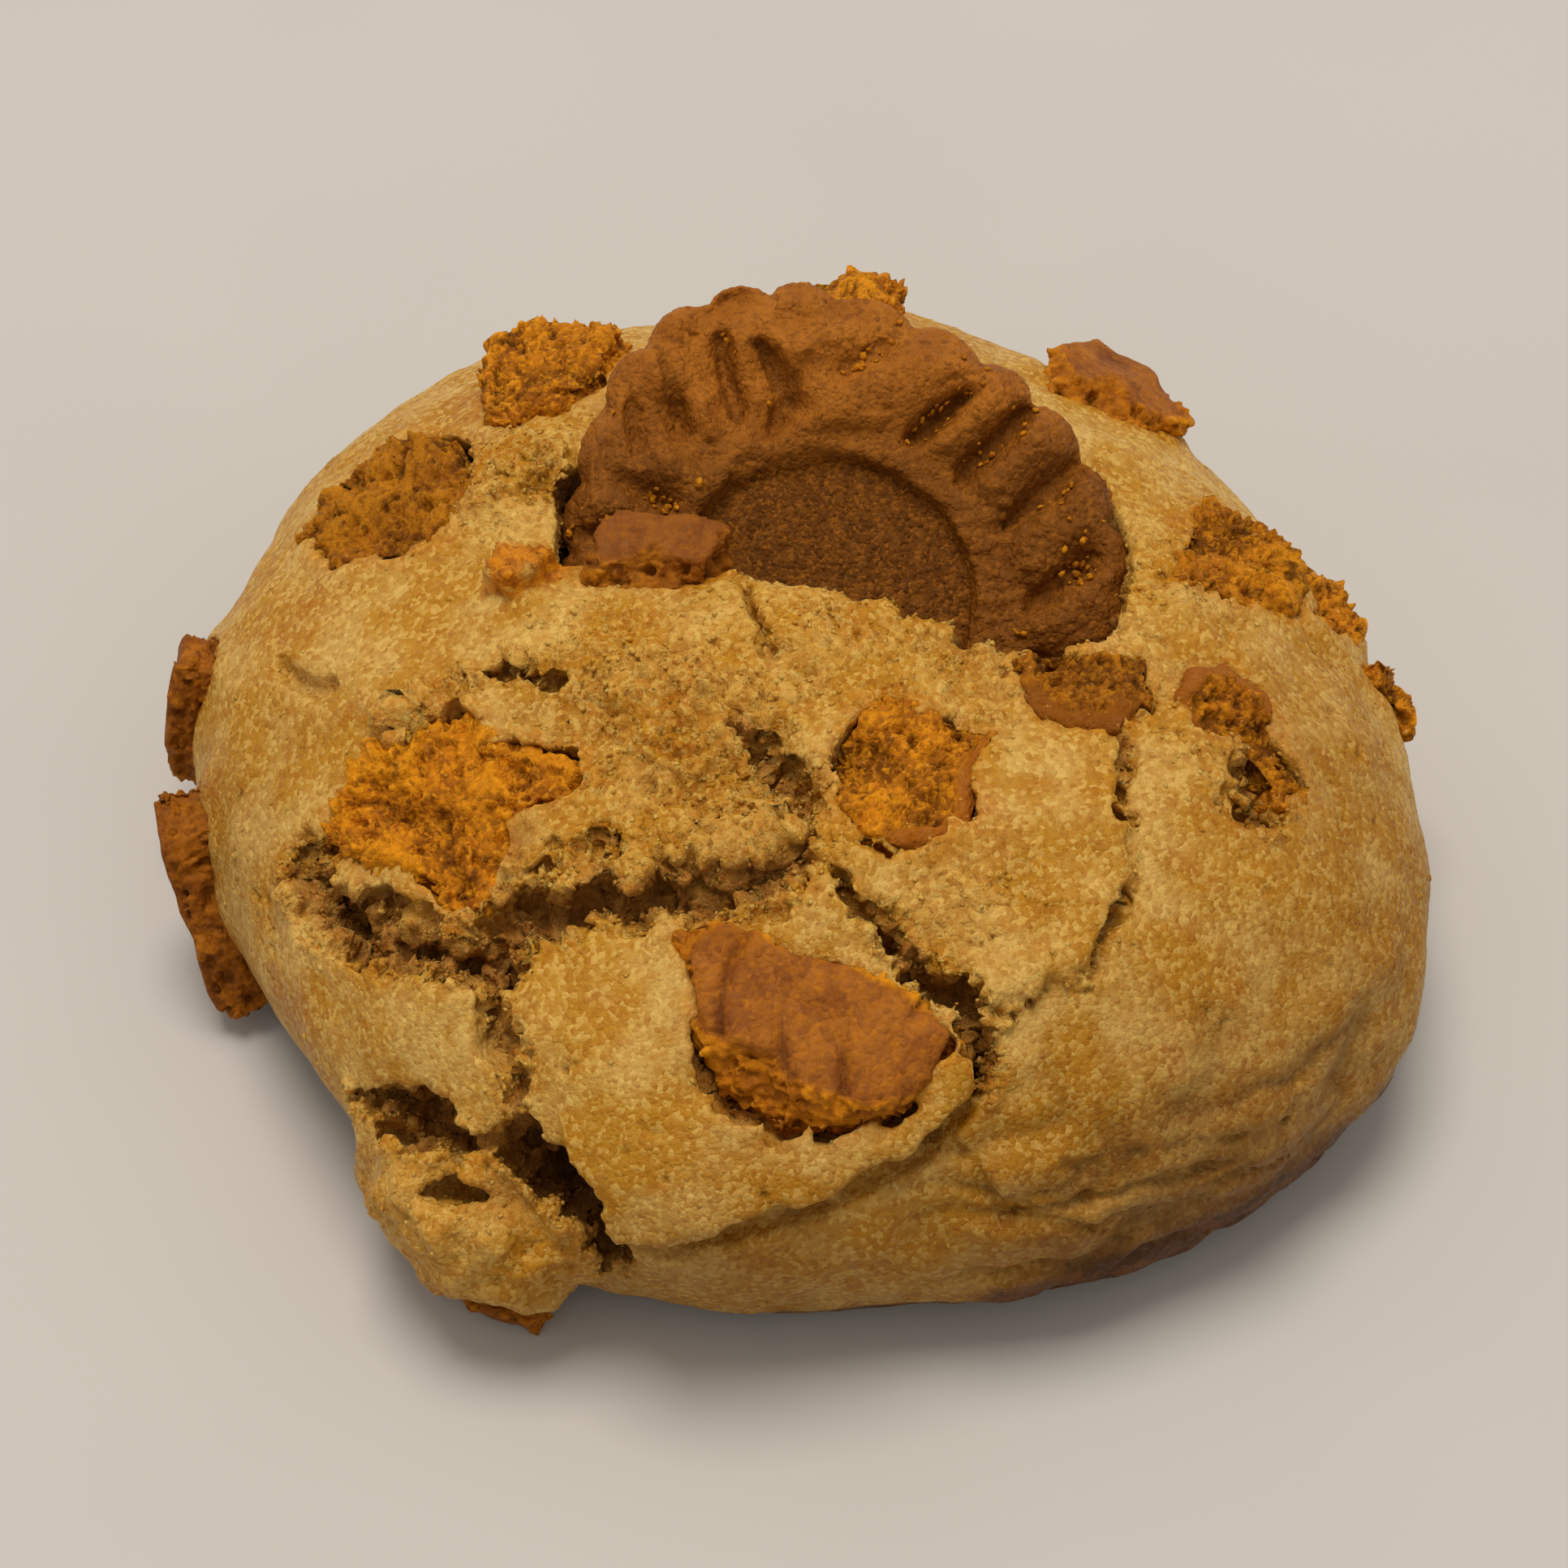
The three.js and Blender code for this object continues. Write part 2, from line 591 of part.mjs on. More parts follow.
// broken pieces of biscuit: outline on the dough, thickness, how far the face stands above the dough,
// a tip of the face about the two plan axes in degrees, and how crumbly it is
const PIECES = [
  {
    name: "chunk_back_left",
    outline: trail([
      [-25.5, 19.5], [-26.3, 24.5], [-24.4, 29.5], [-17.5, 30.5], [-14.2, 28.5], [-15.2, 21.5],
      [-19.5, 18.5],
    ]),
    thickness: 7,
    proud: 3.2,
    tip: [8, 0],
    rough: 0.6,
    colour: CRUMB_COLOUR,
  },
  {
    name: "chunk_left",
    outline: trail([
      [-36.5, 5.5], [-38.5, 11], [-37, 18], [-32.5, 22], [-26.8, 20], [-24, 14.5], [-25, 8.5],
      [-29.5, 5],
    ]),
    thickness: 6,
    proud: 1.6,
    tip: [0, 0],
    rough: 0.9,
    colour: CRUMB_COLOUR,
  },
  {
    name: "chunk_by_biscuit",
    outline: trail([
      [-16.8, -0.4], [-16.4, 3.6], [-14.8, 5.6], [-11.7, 5.2], [-6.2, 4.2], [-5.9, 2.0],
      [-7.2, -1.2], [-11.2, -2.1],
    ]),
    thickness: 4.6,
    proud: 2.2,
    tip: [4, 0],
    rough: 0.35,
    colour: CRUST_COLOUR,
  },
  {
    name: "chunk_left_edge",
    outline: sideTrail([
      [168.5, 8], [167.5, 13], [172, 18], [177.5, 18.5], [181, 12], [178, 5],
    ]),
    thickness: 6.5,
    proud: 3.6,
    tip: [0, 0],
    rough: 0.6,
    colour: CRUST_COLOUR,
  },
  {
    name: "chunk_left_low",
    outline: sideTrail([
      [187.5, 11.5], [188.5, 16.8], [194, 16], [199.5, 10], [204, 2.8], [201, 1.2], [195, 4],
      [189.5, 7],
    ]),
    thickness: 7,
    proud: 4.6,
    tip: [0, 0],
    rough: 0.5,
    colour: CRUST_COLOUR,
  },
  {
    name: "chunk_large_left",
    outline: trail([
      [-36, -18.5], [-34.5, -14.5], [-28, -10.5], [-25.5, -9.6], [-21.5, -13.2], [-15.5, -15.8],
      [-15.5, -19.2], [-20, -20.8], [-22.3, -27.6], [-25, -27.2], [-29.5, -21.5],
    ]),
    thickness: 6.5,
    proud: 1.3,
    tip: [0, 0],
    rough: 0.9,
    colour: CRUMB_COLOUR,
  },
  {
    name: "chunk_porous",
    outline: trail([
      [0, -18.5], [2.8, -12.8], [5.2, -11.2], [13, -14.4], [11.8, -17], [11, -22.6],
      [9.2, -24.6], [5, -25], [2, -23.6],
    ]),
    thickness: 6.5,
    proud: 1.2,
    tip: [-4, 0],
    rough: 0.55,
    colour: CRUMB_COLOUR,
  },
  {
    name: "chunk_right_inner",
    outline: trail([
      [13.6, -8.4], [14.8, -12.4], [17.5, -14.4], [21.4, -14], [24.6, -10.4], [24, -6.4],
      [19.5, -5.8], [15.6, -6.4],
    ]),
    thickness: 6,
    proud: 0.9,
    tip: [0, 0],
    rough: 0.6,
    colour: CRUMB_COLOUR,
  },
  {
    name: "chunk_right_outer",
    outline: trail([
      [25.4, -9.5], [26.2, -13], [29.5, -13.6], [31.2, -14.8], [33.2, -18.2], [36.2, -16],
      [33.6, -11.5], [32.4, -7], [29.4, -5.2], [26.6, -6.4],
    ]),
    thickness: 6,
    proud: 0.9,
    tip: [0, 0],
    rough: 0.7,
    colour: CRUMB_COLOUR,
  },
  {
    name: "chunk_right_shoulder",
    outline: trail([
      [26.6, 2.4], [27.2, 7.8], [29.6, 12.8], [34.2, 13.8], [36.6, 8.4], [36.4, 2.8], [31, 0.6],
    ]),
    thickness: 6,
    proud: 1.5,
    tip: [0, 0],
    rough: 0.9,
    colour: CRUMB_COLOUR,
  },
  {
    name: "chunk_right_edge",
    outline: trail([
      [37, 3.6], [37.4, 9.2], [39.2, 12.4], [41.8, 9.8], [41.6, 5.2], [39.6, 3],
    ]),
    thickness: 5,
    proud: 1.6,
    tip: [0, 0],
    rough: 0.7,
    colour: CRUMB_COLOUR,
  },
  {
    name: "chunk_right_rim",
    outline: sideTrail([
      [359, 15], [0.5, 18.6], [4, 19], [6.5, 16], [4, 12.8], [0.5, 12.6],
    ]),
    thickness: 5,
    proud: 2.3,
    tip: [0, 0],
    rough: 0.6,
    colour: CRUMB_COLOUR,
  },
  {
    name: "chunk_back_right",
    outline: trail([
      [18.5, 24.8], [18, 30.3], [21, 33.7], [26, 31.5], [29, 25.4], [26, 22.5],
    ]),
    thickness: 5.5,
    proud: 3.6,
    tip: [16, 0],
    rough: 0.45,
    colour: CRUST_COLOUR,
  },
  {
    name: "chunk_back",
    outline: trail([
      [-2.6, 33], [-1.8, 37], [3.4, 38.8], [7.8, 36.8], [7.4, 32.6], [2, 31],
    ]),
    thickness: 5.5,
    proud: 2.9,
    tip: [20, 0],
    rough: 0.6,
    colour: CRUMB_COLOUR,
  },
  {
    name: "chunk_front_crust",
    outline: trail([
      [-10.2, -30.2], [-9, -32.8], [-7.8, -37], [-6.2, -39.8], [-2.5, -42.2], [4.6, -41.6],
      [7.6, -39.6], [10, -37.2], [6, -34.6], [1.6, -32.4], [-2.4, -31.4], [-6.4, -29.6],
    ]),
    thickness: 6.5,
    proud: 3.2,
    tip: [-5, 0],
    rough: 0.35,
    colour: CRUST_COLOUR,
  },
  {
    name: "chunk_under_flap",
    outline: sideTrail([
      [233.5, 2.6], [236, 5.2], [241, 5], [247, 4.4], [246.5, 0.9], [237.5, 0.6],
    ]),
    thickness: 7.5,
    proud: 5.9,
    tip: [0, 0],
    rough: 0.5,
    colour: CRUST_COLOUR,
  },
];

function pieceFrame(piece) {
  const middle = new THREE.Vector3();
  piece.outline.forEach((point) => middle.add(point));
  middle.divideScalar(piece.outline.length);
  const spot = topPoint(middle.x, middle.y);
  const onSide = middle.z < spot.z - 2 || middle.z < WAIST_HEIGHT + 4;
  const out = domeNormal(onSide ? middle : spot);
  out.applyAxisAngle(new THREE.Vector3(1, 0, 0), radians(piece.tip[0]));
  out.applyAxisAngle(new THREE.Vector3(0, 1, 0), radians(piece.tip[1]));
  middle.addScaledVector(out, lumpHeight(middle));
  const east = new THREE.Vector3(-out.y, out.x, 0);
  if (Math.abs(out.z) > 0.35) east.set(1, 0, 0).addScaledVector(out, -out.x);
  east.normalize();
  const north = out.clone().cross(east);
  const corners = piece.outline.map((point) => {
    const step = point.clone().sub(middle);
    return new THREE.Vector2(step.dot(east), step.dot(north));
  });
  return { middle, out, east, north, corners };
}

// distance from the middle to the outline in a direction of the piece's own plane
function reachOf(corners, bearing) {
  const ray = new THREE.Vector2(Math.cos(bearing), Math.sin(bearing));
  let reach = 0;
  corners.forEach((a, i) => {
    const b = corners[(i + 1) % corners.length];
    const edge = b.clone().sub(a);
    const cross = ray.x * edge.y - ray.y * edge.x;
    if (Math.abs(cross) < 1e-9) return;
    const along = (a.x * edge.y - a.y * edge.x) / cross;
    const share = (a.x * ray.y - a.y * ray.x) / cross;
    if (along > 0 && share >= -1e-6 && share <= 1 + 1e-6) reach = Math.max(reach, along);
  });
  return reach;
}

// draws a bearing towards the nearest corner, so that the coarse facets keep the corners
function cornered(turns, bearing) {
  const reach = radians(17);
  let moved = bearing;
  turns.forEach((turn) => {
    const away = Math.atan2(Math.sin(bearing - turn), Math.cos(bearing - turn));
    if (Math.abs(away) < reach && Math.abs(away) > 1e-6) {
      moved = turn + away * Math.pow(Math.abs(away) / reach, 0.7);
    }
  });
  return moved;
}

// a broken slab inside its outline, rounded at the edges and roughened inwards
function pieceSolid(piece, seed) {
  const { middle, out, east, north, corners } = pieceFrame(piece);
  const half = piece.thickness / 2;
  const squareness = 7;
  const detail = piece.outline.length > 10 ? 3 : 2;
  const turns = corners.map((corner) => Math.atan2(corner.y, corner.x));
  return solidFrom(
    shaped(new THREE.IcosahedronGeometry(1, detail), (direction) => {
      const flat = Math.hypot(direction.x, direction.y);
      const norm = Math.pow(
        Math.pow(flat, squareness) + Math.pow(Math.abs(direction.z), squareness),
        1 / squareness,
      );
      const bearing = cornered(turns, Math.atan2(direction.y, direction.x));
      const reach = flat > 1e-6 ? reachOf(corners, bearing) : 0;
      const dent = piece.rough * (0.5 + 0.5 * noiseAt(direction.clone().multiplyScalar(2.3), 1, seed));
      const radial = (reach - 0.9 * dent) * (flat / norm);
      const level = (half - 1.5 * dent) * (direction.z / norm);
      const point = middle.clone();
      point.addScaledVector(east, radial * Math.cos(bearing));
      point.addScaledVector(north, radial * Math.sin(bearing));
      point.addScaledVector(out, level + piece.proud - half);
      point.z = Math.max(point.z, FLOOR_CLEARANCE);
      return point;
    }),
  );
}

// the pocket of a piece in the dough, its outline grown by the gap and open to the outside
function pocketSolid(piece) {
  const { middle, out, east, north, corners } = pieceFrame(piece);
  const grown = corners.map((corner) => corner.clone().setLength(corner.length() + 1.2 * GAP));
  const plan = new THREE.Shape(grown);
  const depth = piece.thickness + GAP + POCKET_HEADROOM;
  const prism = new THREE.ExtrudeGeometry(plan, { depth, bevelEnabled: false });
  const frame = new THREE.Matrix4().makeBasis(east, north, out);
  const start = middle.clone().addScaledVector(out, piece.proud - piece.thickness - GAP);
  prism.applyMatrix4(frame).translate(start.x, start.y, start.z);
  return solidFrom(prism);
}

// dark spaces left beside the pieces and under the torn flap
const HOLLOWS = [
  { name: "beside the front piece", at: topPoint(-7.6, -38.4), size: [1.9, 3.6, 3.4] },
  { name: "below the front piece", at: topPoint(-0.8, -43), size: [5.4, 1.9, 2.6] },
  { name: "under the large left piece", at: topPoint(-30.5, -23.6), size: [5.2, 2.2, 4] },
  { name: "below the porous piece", at: topPoint(6, -25), size: [2.8, 1.2, 2] },
  { name: "torn mouth", at: sidePoint(235, 17.4), size: [4.2, 3.4, 1.8] },
  { name: "torn hole", at: sidePoint(241, 14.4), size: [2.4, 3, 1.4] },
];

function hollowSolid(hollow, seed) {
  return solidFrom(
    shaped(new THREE.IcosahedronGeometry(1, 2), (direction) => {
      const point = new THREE.Vector3(...hollow.size).multiply(direction);
      point.multiplyScalar(1 + 0.2 * noiseAt(direction, 0.5, seed));
      return point.add(hollow.at);
    }),
  );
}

function built() {
  const group = new THREE.Group();
  group.position.copy(PLAN_SHIFT);
  const biscuit = solidFrom(placedBiscuit(biscuitGeometry()));
  const biscuitRoom = solidFrom(placedBiscuit(roomGeometry()));
  let dough = doughSolid().add(flapSolid());
  HOLLOWS.forEach((hollow, i) => {
    dough = dough.subtract(hollowSolid(hollow, 70 + i));
  });
  dough = dough.subtract(biscuitRoom).subtract(openingSolid());
  const pieces = PIECES.map((piece, i) => {
    dough = dough.subtract(pocketSolid(piece));
    return { piece, solid: pieceSolid(piece, 50 + i).subtract(biscuitRoom) };
  });
  const largest = dough.decompose().sort((a, b) => b.volume() - a.volume())[0];
  const add = (name, solid, colour, roughness) => {
    const material = new THREE.MeshStandardMaterial({ color: colour, roughness, metalness: 0 });
    const mesh = new THREE.Mesh(geometryFrom(solid), material);
    mesh.name = name;
    group.add(mesh);
  };
  add("dough", largest, DOUGH_COLOUR, 0.85);
  add("round_biscuit", biscuit, BISCUIT_COLOUR, 0.7);
  pieces.forEach(({ piece, solid }) => add(piece.name, solid, piece.colour, 0.85));
  return group;
}

export default built();
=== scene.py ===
import itertools
import math

import bmesh
import bpy
import numpy as np
from mathutils import Matrix, Vector


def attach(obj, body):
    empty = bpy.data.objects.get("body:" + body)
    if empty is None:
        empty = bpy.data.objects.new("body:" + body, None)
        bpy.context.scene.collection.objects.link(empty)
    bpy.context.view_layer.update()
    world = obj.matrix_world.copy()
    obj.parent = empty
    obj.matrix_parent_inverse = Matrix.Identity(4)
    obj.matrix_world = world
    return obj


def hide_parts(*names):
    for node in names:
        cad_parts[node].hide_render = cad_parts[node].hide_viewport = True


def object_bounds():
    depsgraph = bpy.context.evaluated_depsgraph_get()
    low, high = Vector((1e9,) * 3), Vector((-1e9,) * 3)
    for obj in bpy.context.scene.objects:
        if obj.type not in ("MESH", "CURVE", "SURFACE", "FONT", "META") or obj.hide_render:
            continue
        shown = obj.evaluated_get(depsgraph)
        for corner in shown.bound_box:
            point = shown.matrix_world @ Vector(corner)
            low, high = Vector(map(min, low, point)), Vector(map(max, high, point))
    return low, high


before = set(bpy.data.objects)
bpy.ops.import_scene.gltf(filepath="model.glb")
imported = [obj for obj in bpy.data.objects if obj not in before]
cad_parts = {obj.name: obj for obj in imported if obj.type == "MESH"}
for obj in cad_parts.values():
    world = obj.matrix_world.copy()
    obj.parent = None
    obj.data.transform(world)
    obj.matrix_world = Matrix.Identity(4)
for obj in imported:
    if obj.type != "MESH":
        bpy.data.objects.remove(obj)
CAD_LOW, CAD_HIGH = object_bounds()

bl_info = {
    "name": "Soft Cookie With Biscuit Pieces",
    "version": (1, 0, 0),
    "blender": (4, 5, 0),
    "location": "View3D > Sidebar > Cookie",
    "description": "Builds a thick soft cookie with broken and round spiced biscuits on top",
    "category": "Object",
}

# Shapes are worked out in millimetres about the dome's own axis. put() moves them to the frame.
MM = 0.001
PLAN_SHIFT = np.array([1.9, 2.2, 0.0])

DOME_HEIGHT = 31
WAIST_HEIGHT = 11
DOME_POWER = 2.6
BASE_INSET = 7
BASE_SHARE = 0.14
MEAN_RADIUS = 46
SKIN_ROUGHNESS = 0.45
# plan radius every 18 degrees, counter-clockwise from +X
PLAN_RADII = np.array([
    45, 43, 42, 42.5, 43.5, 44, 45, 48.5, 48.5, 48,
    47.5, 46, 45.5, 47, 47.5, 47.5, 47, 49, 50, 48,
])

BISCUIT_RADIUS = 21.8
BISCUIT_THICKNESS = 5
BISCUIT_TILT = 33
BISCUIT_CENTRE = np.array([2.4, 3.1, 24.8])
SWELL_BEARING = 116
SWELL_SPREAD = 23
SWELL_REACH = 4.4
RECESS_CENTRE = (-1.6, 0)
RECESS_RADIUS = 11.3
RECESS_DEPTH = 1.1
GAP = 0.2

POCKET_HEADROOM = 5
# folds shallower than this stay skinned over, and get this share of the cracks' waviness
SOFT_FOLD = 1.55
SOFT_WARP = 0.45
FLOOR_CLEARANCE = 0.3

# the most triangles of a piece, and how readily its shown and its far places are thinned out
DOUGH_TRIANGLES = 196000
BISCUIT_TRIANGLES = 130000
PIECE_TRIANGLES = 22000
SPARED = 0.3
FAR_SHARE = 0.55
TOWARDS_CAMERA = (0, -0.66, 0.75)

# loose crumbs: how many, their smallest and largest size, and how many corners each has
DOUGH_CRUMBS = 9000
DOUGH_CRUMB_SIZES = (0.14, 0.3)
BISCUIT_CRUMBS = 150
BISCUIT_CRUMB_SIZES = (0.12, 0.42)
CRUMB_CORNERS = 12

# the camera at the photo's angle, and the lamp in metres
CAMERA_TARGET = Vector((-0.3, -6.0, 17.5))
CAMERA_DISTANCE = 260
CAMERA_RISE = 49
LENS_LENGTH = 80.4
SENSOR_WIDTH = 36
LAMP_PLACE = Vector((-0.11, 0.2, 1.5))
LAMP_AIM = Vector((0, 0, 0.01))
LAMP_SIZE = 0.8
FLOOR_HALF_WIDTH = 3


def linear(red, green, blue):
    """Colour read from 0 to 255 off a screen, as the linear values that Blender works in."""
    shares = [value / 255 for value in (red, green, blue)]
    return tuple(v / 12.92 if v <= 0.04045 else ((v + 0.055) / 1.055) ** 2.4 for v in shares)


def smoothstep(value, low, high):
    """0 below low, 1 above high and a smooth climb between them."""
    share = np.clip((value - low) / (high - low), 0, 1)
    return share * share * (3 - 2 * share)


def lattice(i, j, k, seed):
    """Repeatable value from -1 to 1 for each whole-number place. The big numbers stir its bits."""
    mixed = i * np.uint32(374761393) + j * np.uint32(668265263) + k * np.uint32(1440662683)
    mixed = (mixed + np.uint32(seed * 1013904223 & 0xFFFFFFFF)) * np.uint32(1274126177)
    mixed ^= mixed >> np.uint32(15)
    mixed *= np.uint32(2246822519)
    mixed ^= mixed >> np.uint32(13)
    return mixed.astype(float) / 2147483647.5 - 1


def noise(points, size, seed):
    """Smooth repeatable noise from -1 to 1 with features of one size."""
    scaled = points / size
    base = np.floor(scaled)
    share = scaled - base
    share = share * share * (3 - 2 * share)
    cell = base.astype(np.int64).astype(np.uint32)
    total = np.zeros(len(points))
    for corner in itertools.product((0, 1), repeat=3):
        weight = np.where(corner, share, 1 - share).prod(axis=1)
        total += weight * lattice(*(cell + np.array(corner, np.uint32)).T, seed)
    return total


OCTAVE_TURN = np.array(Matrix.Rotation(0.9, 3, Vector((1, 2, 3)).normalized()))


def rough(points, size, octaves, seed, keep=0.55):
    """Noise of several sizes laid over each other, each half as large as the last."""
    total = np.zeros(len(points))
    share = 1
    whole = 0
    for octave in range(octaves):
        total += share * noise(points, size, seed + octave)
        whole += share
        share *= keep
        size *= 0.5
        points = points @ OCTAVE_TURN
    return total / whole


def cells(points, size, seed):
    """Distance to the nearest of many scattered centres, in sizes."""
    scaled = points / size
    base = np.floor(scaled)
    nearest = np.full(len(points), 9.0)
    for step in itertools.product((-1, 0, 1), repeat=3):
        cell = base + step
        place = cell.astype(np.int64).astype(np.uint32)
        jitter = [lattice(*place.T, seed + n) for n in range(3)]
        centre = cell + 0.5 + 0.45 * np.column_stack(jitter)
        nearest = np.minimum(nearest, np.linalg.norm(scaled - centre, axis=1))
    return nearest


def near(points, at, reach):
    """1 at a place, falling softly towards 0 beyond its reach."""
    far = np.linalg.norm(points - at, axis=1) / reach
    return np.exp(-far * far)


def shift_noise(points, size, seed):
    """Noise in three directions, to make a smooth line ragged."""
    return np.column_stack([noise(points, size, seed + n) for n in range(3)])


def put(name, bm):
    """Makes an object of a bmesh that is in millimetres about the dome's axis."""
    bm.transform(Matrix.Scale(MM, 4) @ Matrix.Translation(Vector(PLAN_SHIFT)))
    mesh = bpy.data.meshes.new(name)
    bm.to_mesh(mesh)
    bm.free()
    obj = bpy.data.objects.new(name, mesh)
    bpy.context.scene.collection.objects.link(obj)
    return obj


def read_rows(obj, name):
    """The places or the normals of an object's points, a row each."""
    flat = np.empty(len(obj.data.vertices) * 3, np.float32)
    obj.data.vertices.foreach_get(name, flat)
    return flat.reshape(-1, 3)


def points_of(obj):
    """An object's points in millimetres about the dome's axis."""
    return read_rows(obj, "co") / MM - PLAN_SHIFT


def normals_of(obj):
    """The direction in which each point of an object faces."""
    return read_rows(obj, "normal").astype(float)


def reshape(obj, points):
    """Moves an object's points and keeps them inside the box of the solid model."""
    placed = np.clip((points + PLAN_SHIFT) * MM, CAD_LOW, CAD_HIGH)
    obj.data.vertices.foreach_set("co", placed.astype(np.float32).ravel())
    obj.data.update()


def settle(obj):
    """Makes an object's modifiers part of its mesh."""
    depsgraph = bpy.context.evaluated_depsgraph_get()
    mesh = bpy.data.meshes.new_from_object(obj.evaluated_get(depsgraph))
    mesh.name = obj.name
    before = obj.data
    obj.modifiers.clear()
    obj.data = mesh
    bpy.data.meshes.remove(before)


def drop(obj):
    """Removes a helper object and its mesh."""
    mesh = obj.data
    bpy.data.objects.remove(obj)
    bpy.data.meshes.remove(mesh)


def combine(obj, others, operation):
    """Cuts, joins or intersects an object with helpers, which are used up."""
    for other in others:
        modifier = obj.modifiers.new(other.name, "BOOLEAN")
        modifier.operation = operation
        modifier.solver = "MANIFOLD"
        modifier.object = other
    before = len(obj.data.vertices)
    settle(obj)
    if len(obj.data.vertices) in (0, before):
        raise RuntimeError(f"{obj.name}: {operation} changed nothing or left nothing")
    for other in others:
        drop(other)


def even_skin(obj, voxel):
    """Gives an object one closed skin of even little faces, voxel millimetres wide."""
    modifier = obj.modifiers.new("even skin", "REMESH")
    modifier.mode = "VOXEL"
    modifier.voxel_size = voxel * MM
    settle(obj)


def thin_out(obj, most, hidden, far=False):
    """Thins an object to at most so many triangles, hidden ones first, then the far ones."""
    triangles = sum(len(face.vertices) - 2 for face in obj.data.polygons)
    if triangles > most:
        shares = np.where(hidden, 1, np.where(far, FAR_SHARE, SPARED))
        for share in (1, FAR_SHARE, SPARED):
            places = np.flatnonzero(shares == share)
            group = obj.vertex_groups.get("hidden") or obj.vertex_groups.new(name="hidden")
            group.add(places.tolist(), share, "REPLACE")
        modifier = obj.modifiers.new("thinner", "DECIMATE")
        modifier.ratio = most / triangles
        modifier.vertex_group = "hidden"
        modifier.vertex_group_factor = 2e-5
        settle(obj)


def note(obj, name, values):
    """Stores one number for each point, for the material to read."""
    attribute = obj.data.attributes.new(name, "FLOAT", "POINT")
    attribute.data.foreach_set("value", np.clip(values, 0, 1).astype(np.float32))


def finish_piece(obj, material, slot, *nodes):
    """Gives a finished piece its material, its body and the solids that it stands for. Its slot is
    not used.
    """
    obj.data.materials.clear()
    obj.data.materials.append(material)
    obj.data.shade_smooth()
    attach(obj, "root")
    if nodes:
        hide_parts(*nodes)


def bearing_of(points):
    """Bearing about the upright axis, in degrees."""
    return np.degrees(np.arctan2(points[:, 1], points[:, 0]))


def plan_radius(bearing):
    """Plan radius of the dome, a smooth closed curve through PLAN_RADII."""
    count = len(PLAN_RADII)
    along = (bearing % 360) / 360 * count
    i = np.floor(along).astype(int)
    t = along - i
    a, b, c, d = (PLAN_RADII[(i + step) % count] for step in (-1, 0, 1, 2))
    return b + 0.5 * t * (c - a + t * (2 * a - 5 * b + 4 * c - d + t * (3 * (b - c) + d - a)))


def top_point(x, y):
    """The place on the smooth dome over a place in plan."""
    share = min(math.hypot(x, y) / plan_radius(np.degrees(np.arctan2(y, x))), 1)
    height = math.sqrt(1 - share**DOME_POWER)
    return np.array([x, y, WAIST_HEIGHT + (DOME_HEIGHT - WAIST_HEIGHT) * height])


def side_point(bearing, z):
    """The place on the dome's side at a bearing and height."""
    full = plan_radius(np.float64(bearing))
    if z >= WAIST_HEIGHT:
        height = (z - WAIST_HEIGHT) / (DOME_HEIGHT - WAIST_HEIGHT)
        radius = full * (1 - height * height) ** (1 / DOME_POWER)
    else:
        fall = (WAIST_HEIGHT - z) / WAIST_HEIGHT
        radius = full - BASE_INSET + BASE_INSET * math.sqrt(1 - fall * fall)
    turn = math.radians(bearing)
    return np.array([radius * math.cos(turn), radius * math.sin(turn), z])


def trail(*places):
    """A line of places on the top, from their places in plan."""
    return np.array([top_point(x, y) for x, y in places])


def side_trail(*places):
    """A line of places on the side, from their bearings and heights."""
    return np.array([side_point(bearing, z) for bearing, z in places])


def section_walk():
    """Half section of the dome from its base to its top: inset, share of radius, height, length."""
    foot = np.linspace(0, math.pi / 2, 61)
    head = np.linspace(0, math.pi / 2, 201)[1:]
    inset = np.concatenate([BASE_INSET * (1 - np.sin(foot)), 0 * head])
    share = np.concatenate([1 + 0 * foot, np.clip(np.cos(head), 0, 1) ** (2 / DOME_POWER)])
    share[-1] = 0
    rise = DOME_HEIGHT - WAIST_HEIGHT
    z = np.concatenate([WAIST_HEIGHT * (1 - np.cos(foot)), WAIST_HEIGHT + rise * np.sin(head)])
    out = MEAN_RADIUS * np.diff(share) - np.diff(inset)
    length = np.concatenate([[0], np.cumsum(np.hypot(out, np.diff(z)))])
    return inset, share, z, length


SECTION = section_walk()


def dome_points(directions):
    """Directions of the unit ball as places on the smooth dome."""
    inset, share, height, length = SECTION
    rise = np.arccos(np.clip(-directions[:, 2], -1, 1)) / math.pi
    bearing = bearing_of(directions)
    full = plan_radius(bearing)
    base = rise <= BASE_SHARE
    walked = np.clip((rise - BASE_SHARE) / (1 - BASE_SHARE), 0, 1) * length[-1]
    out = (full - np.interp(walked, length, inset)) * np.interp(walked, length, share)
    radius = np.where(base, (full - BASE_INSET) * rise / BASE_SHARE, out)
    z = np.where(base, 0, np.interp(walked, length, height))
    turn = np.radians(bearing)
    return np.column_stack([radius * np.cos(turn), radius * np.sin(turn), z])


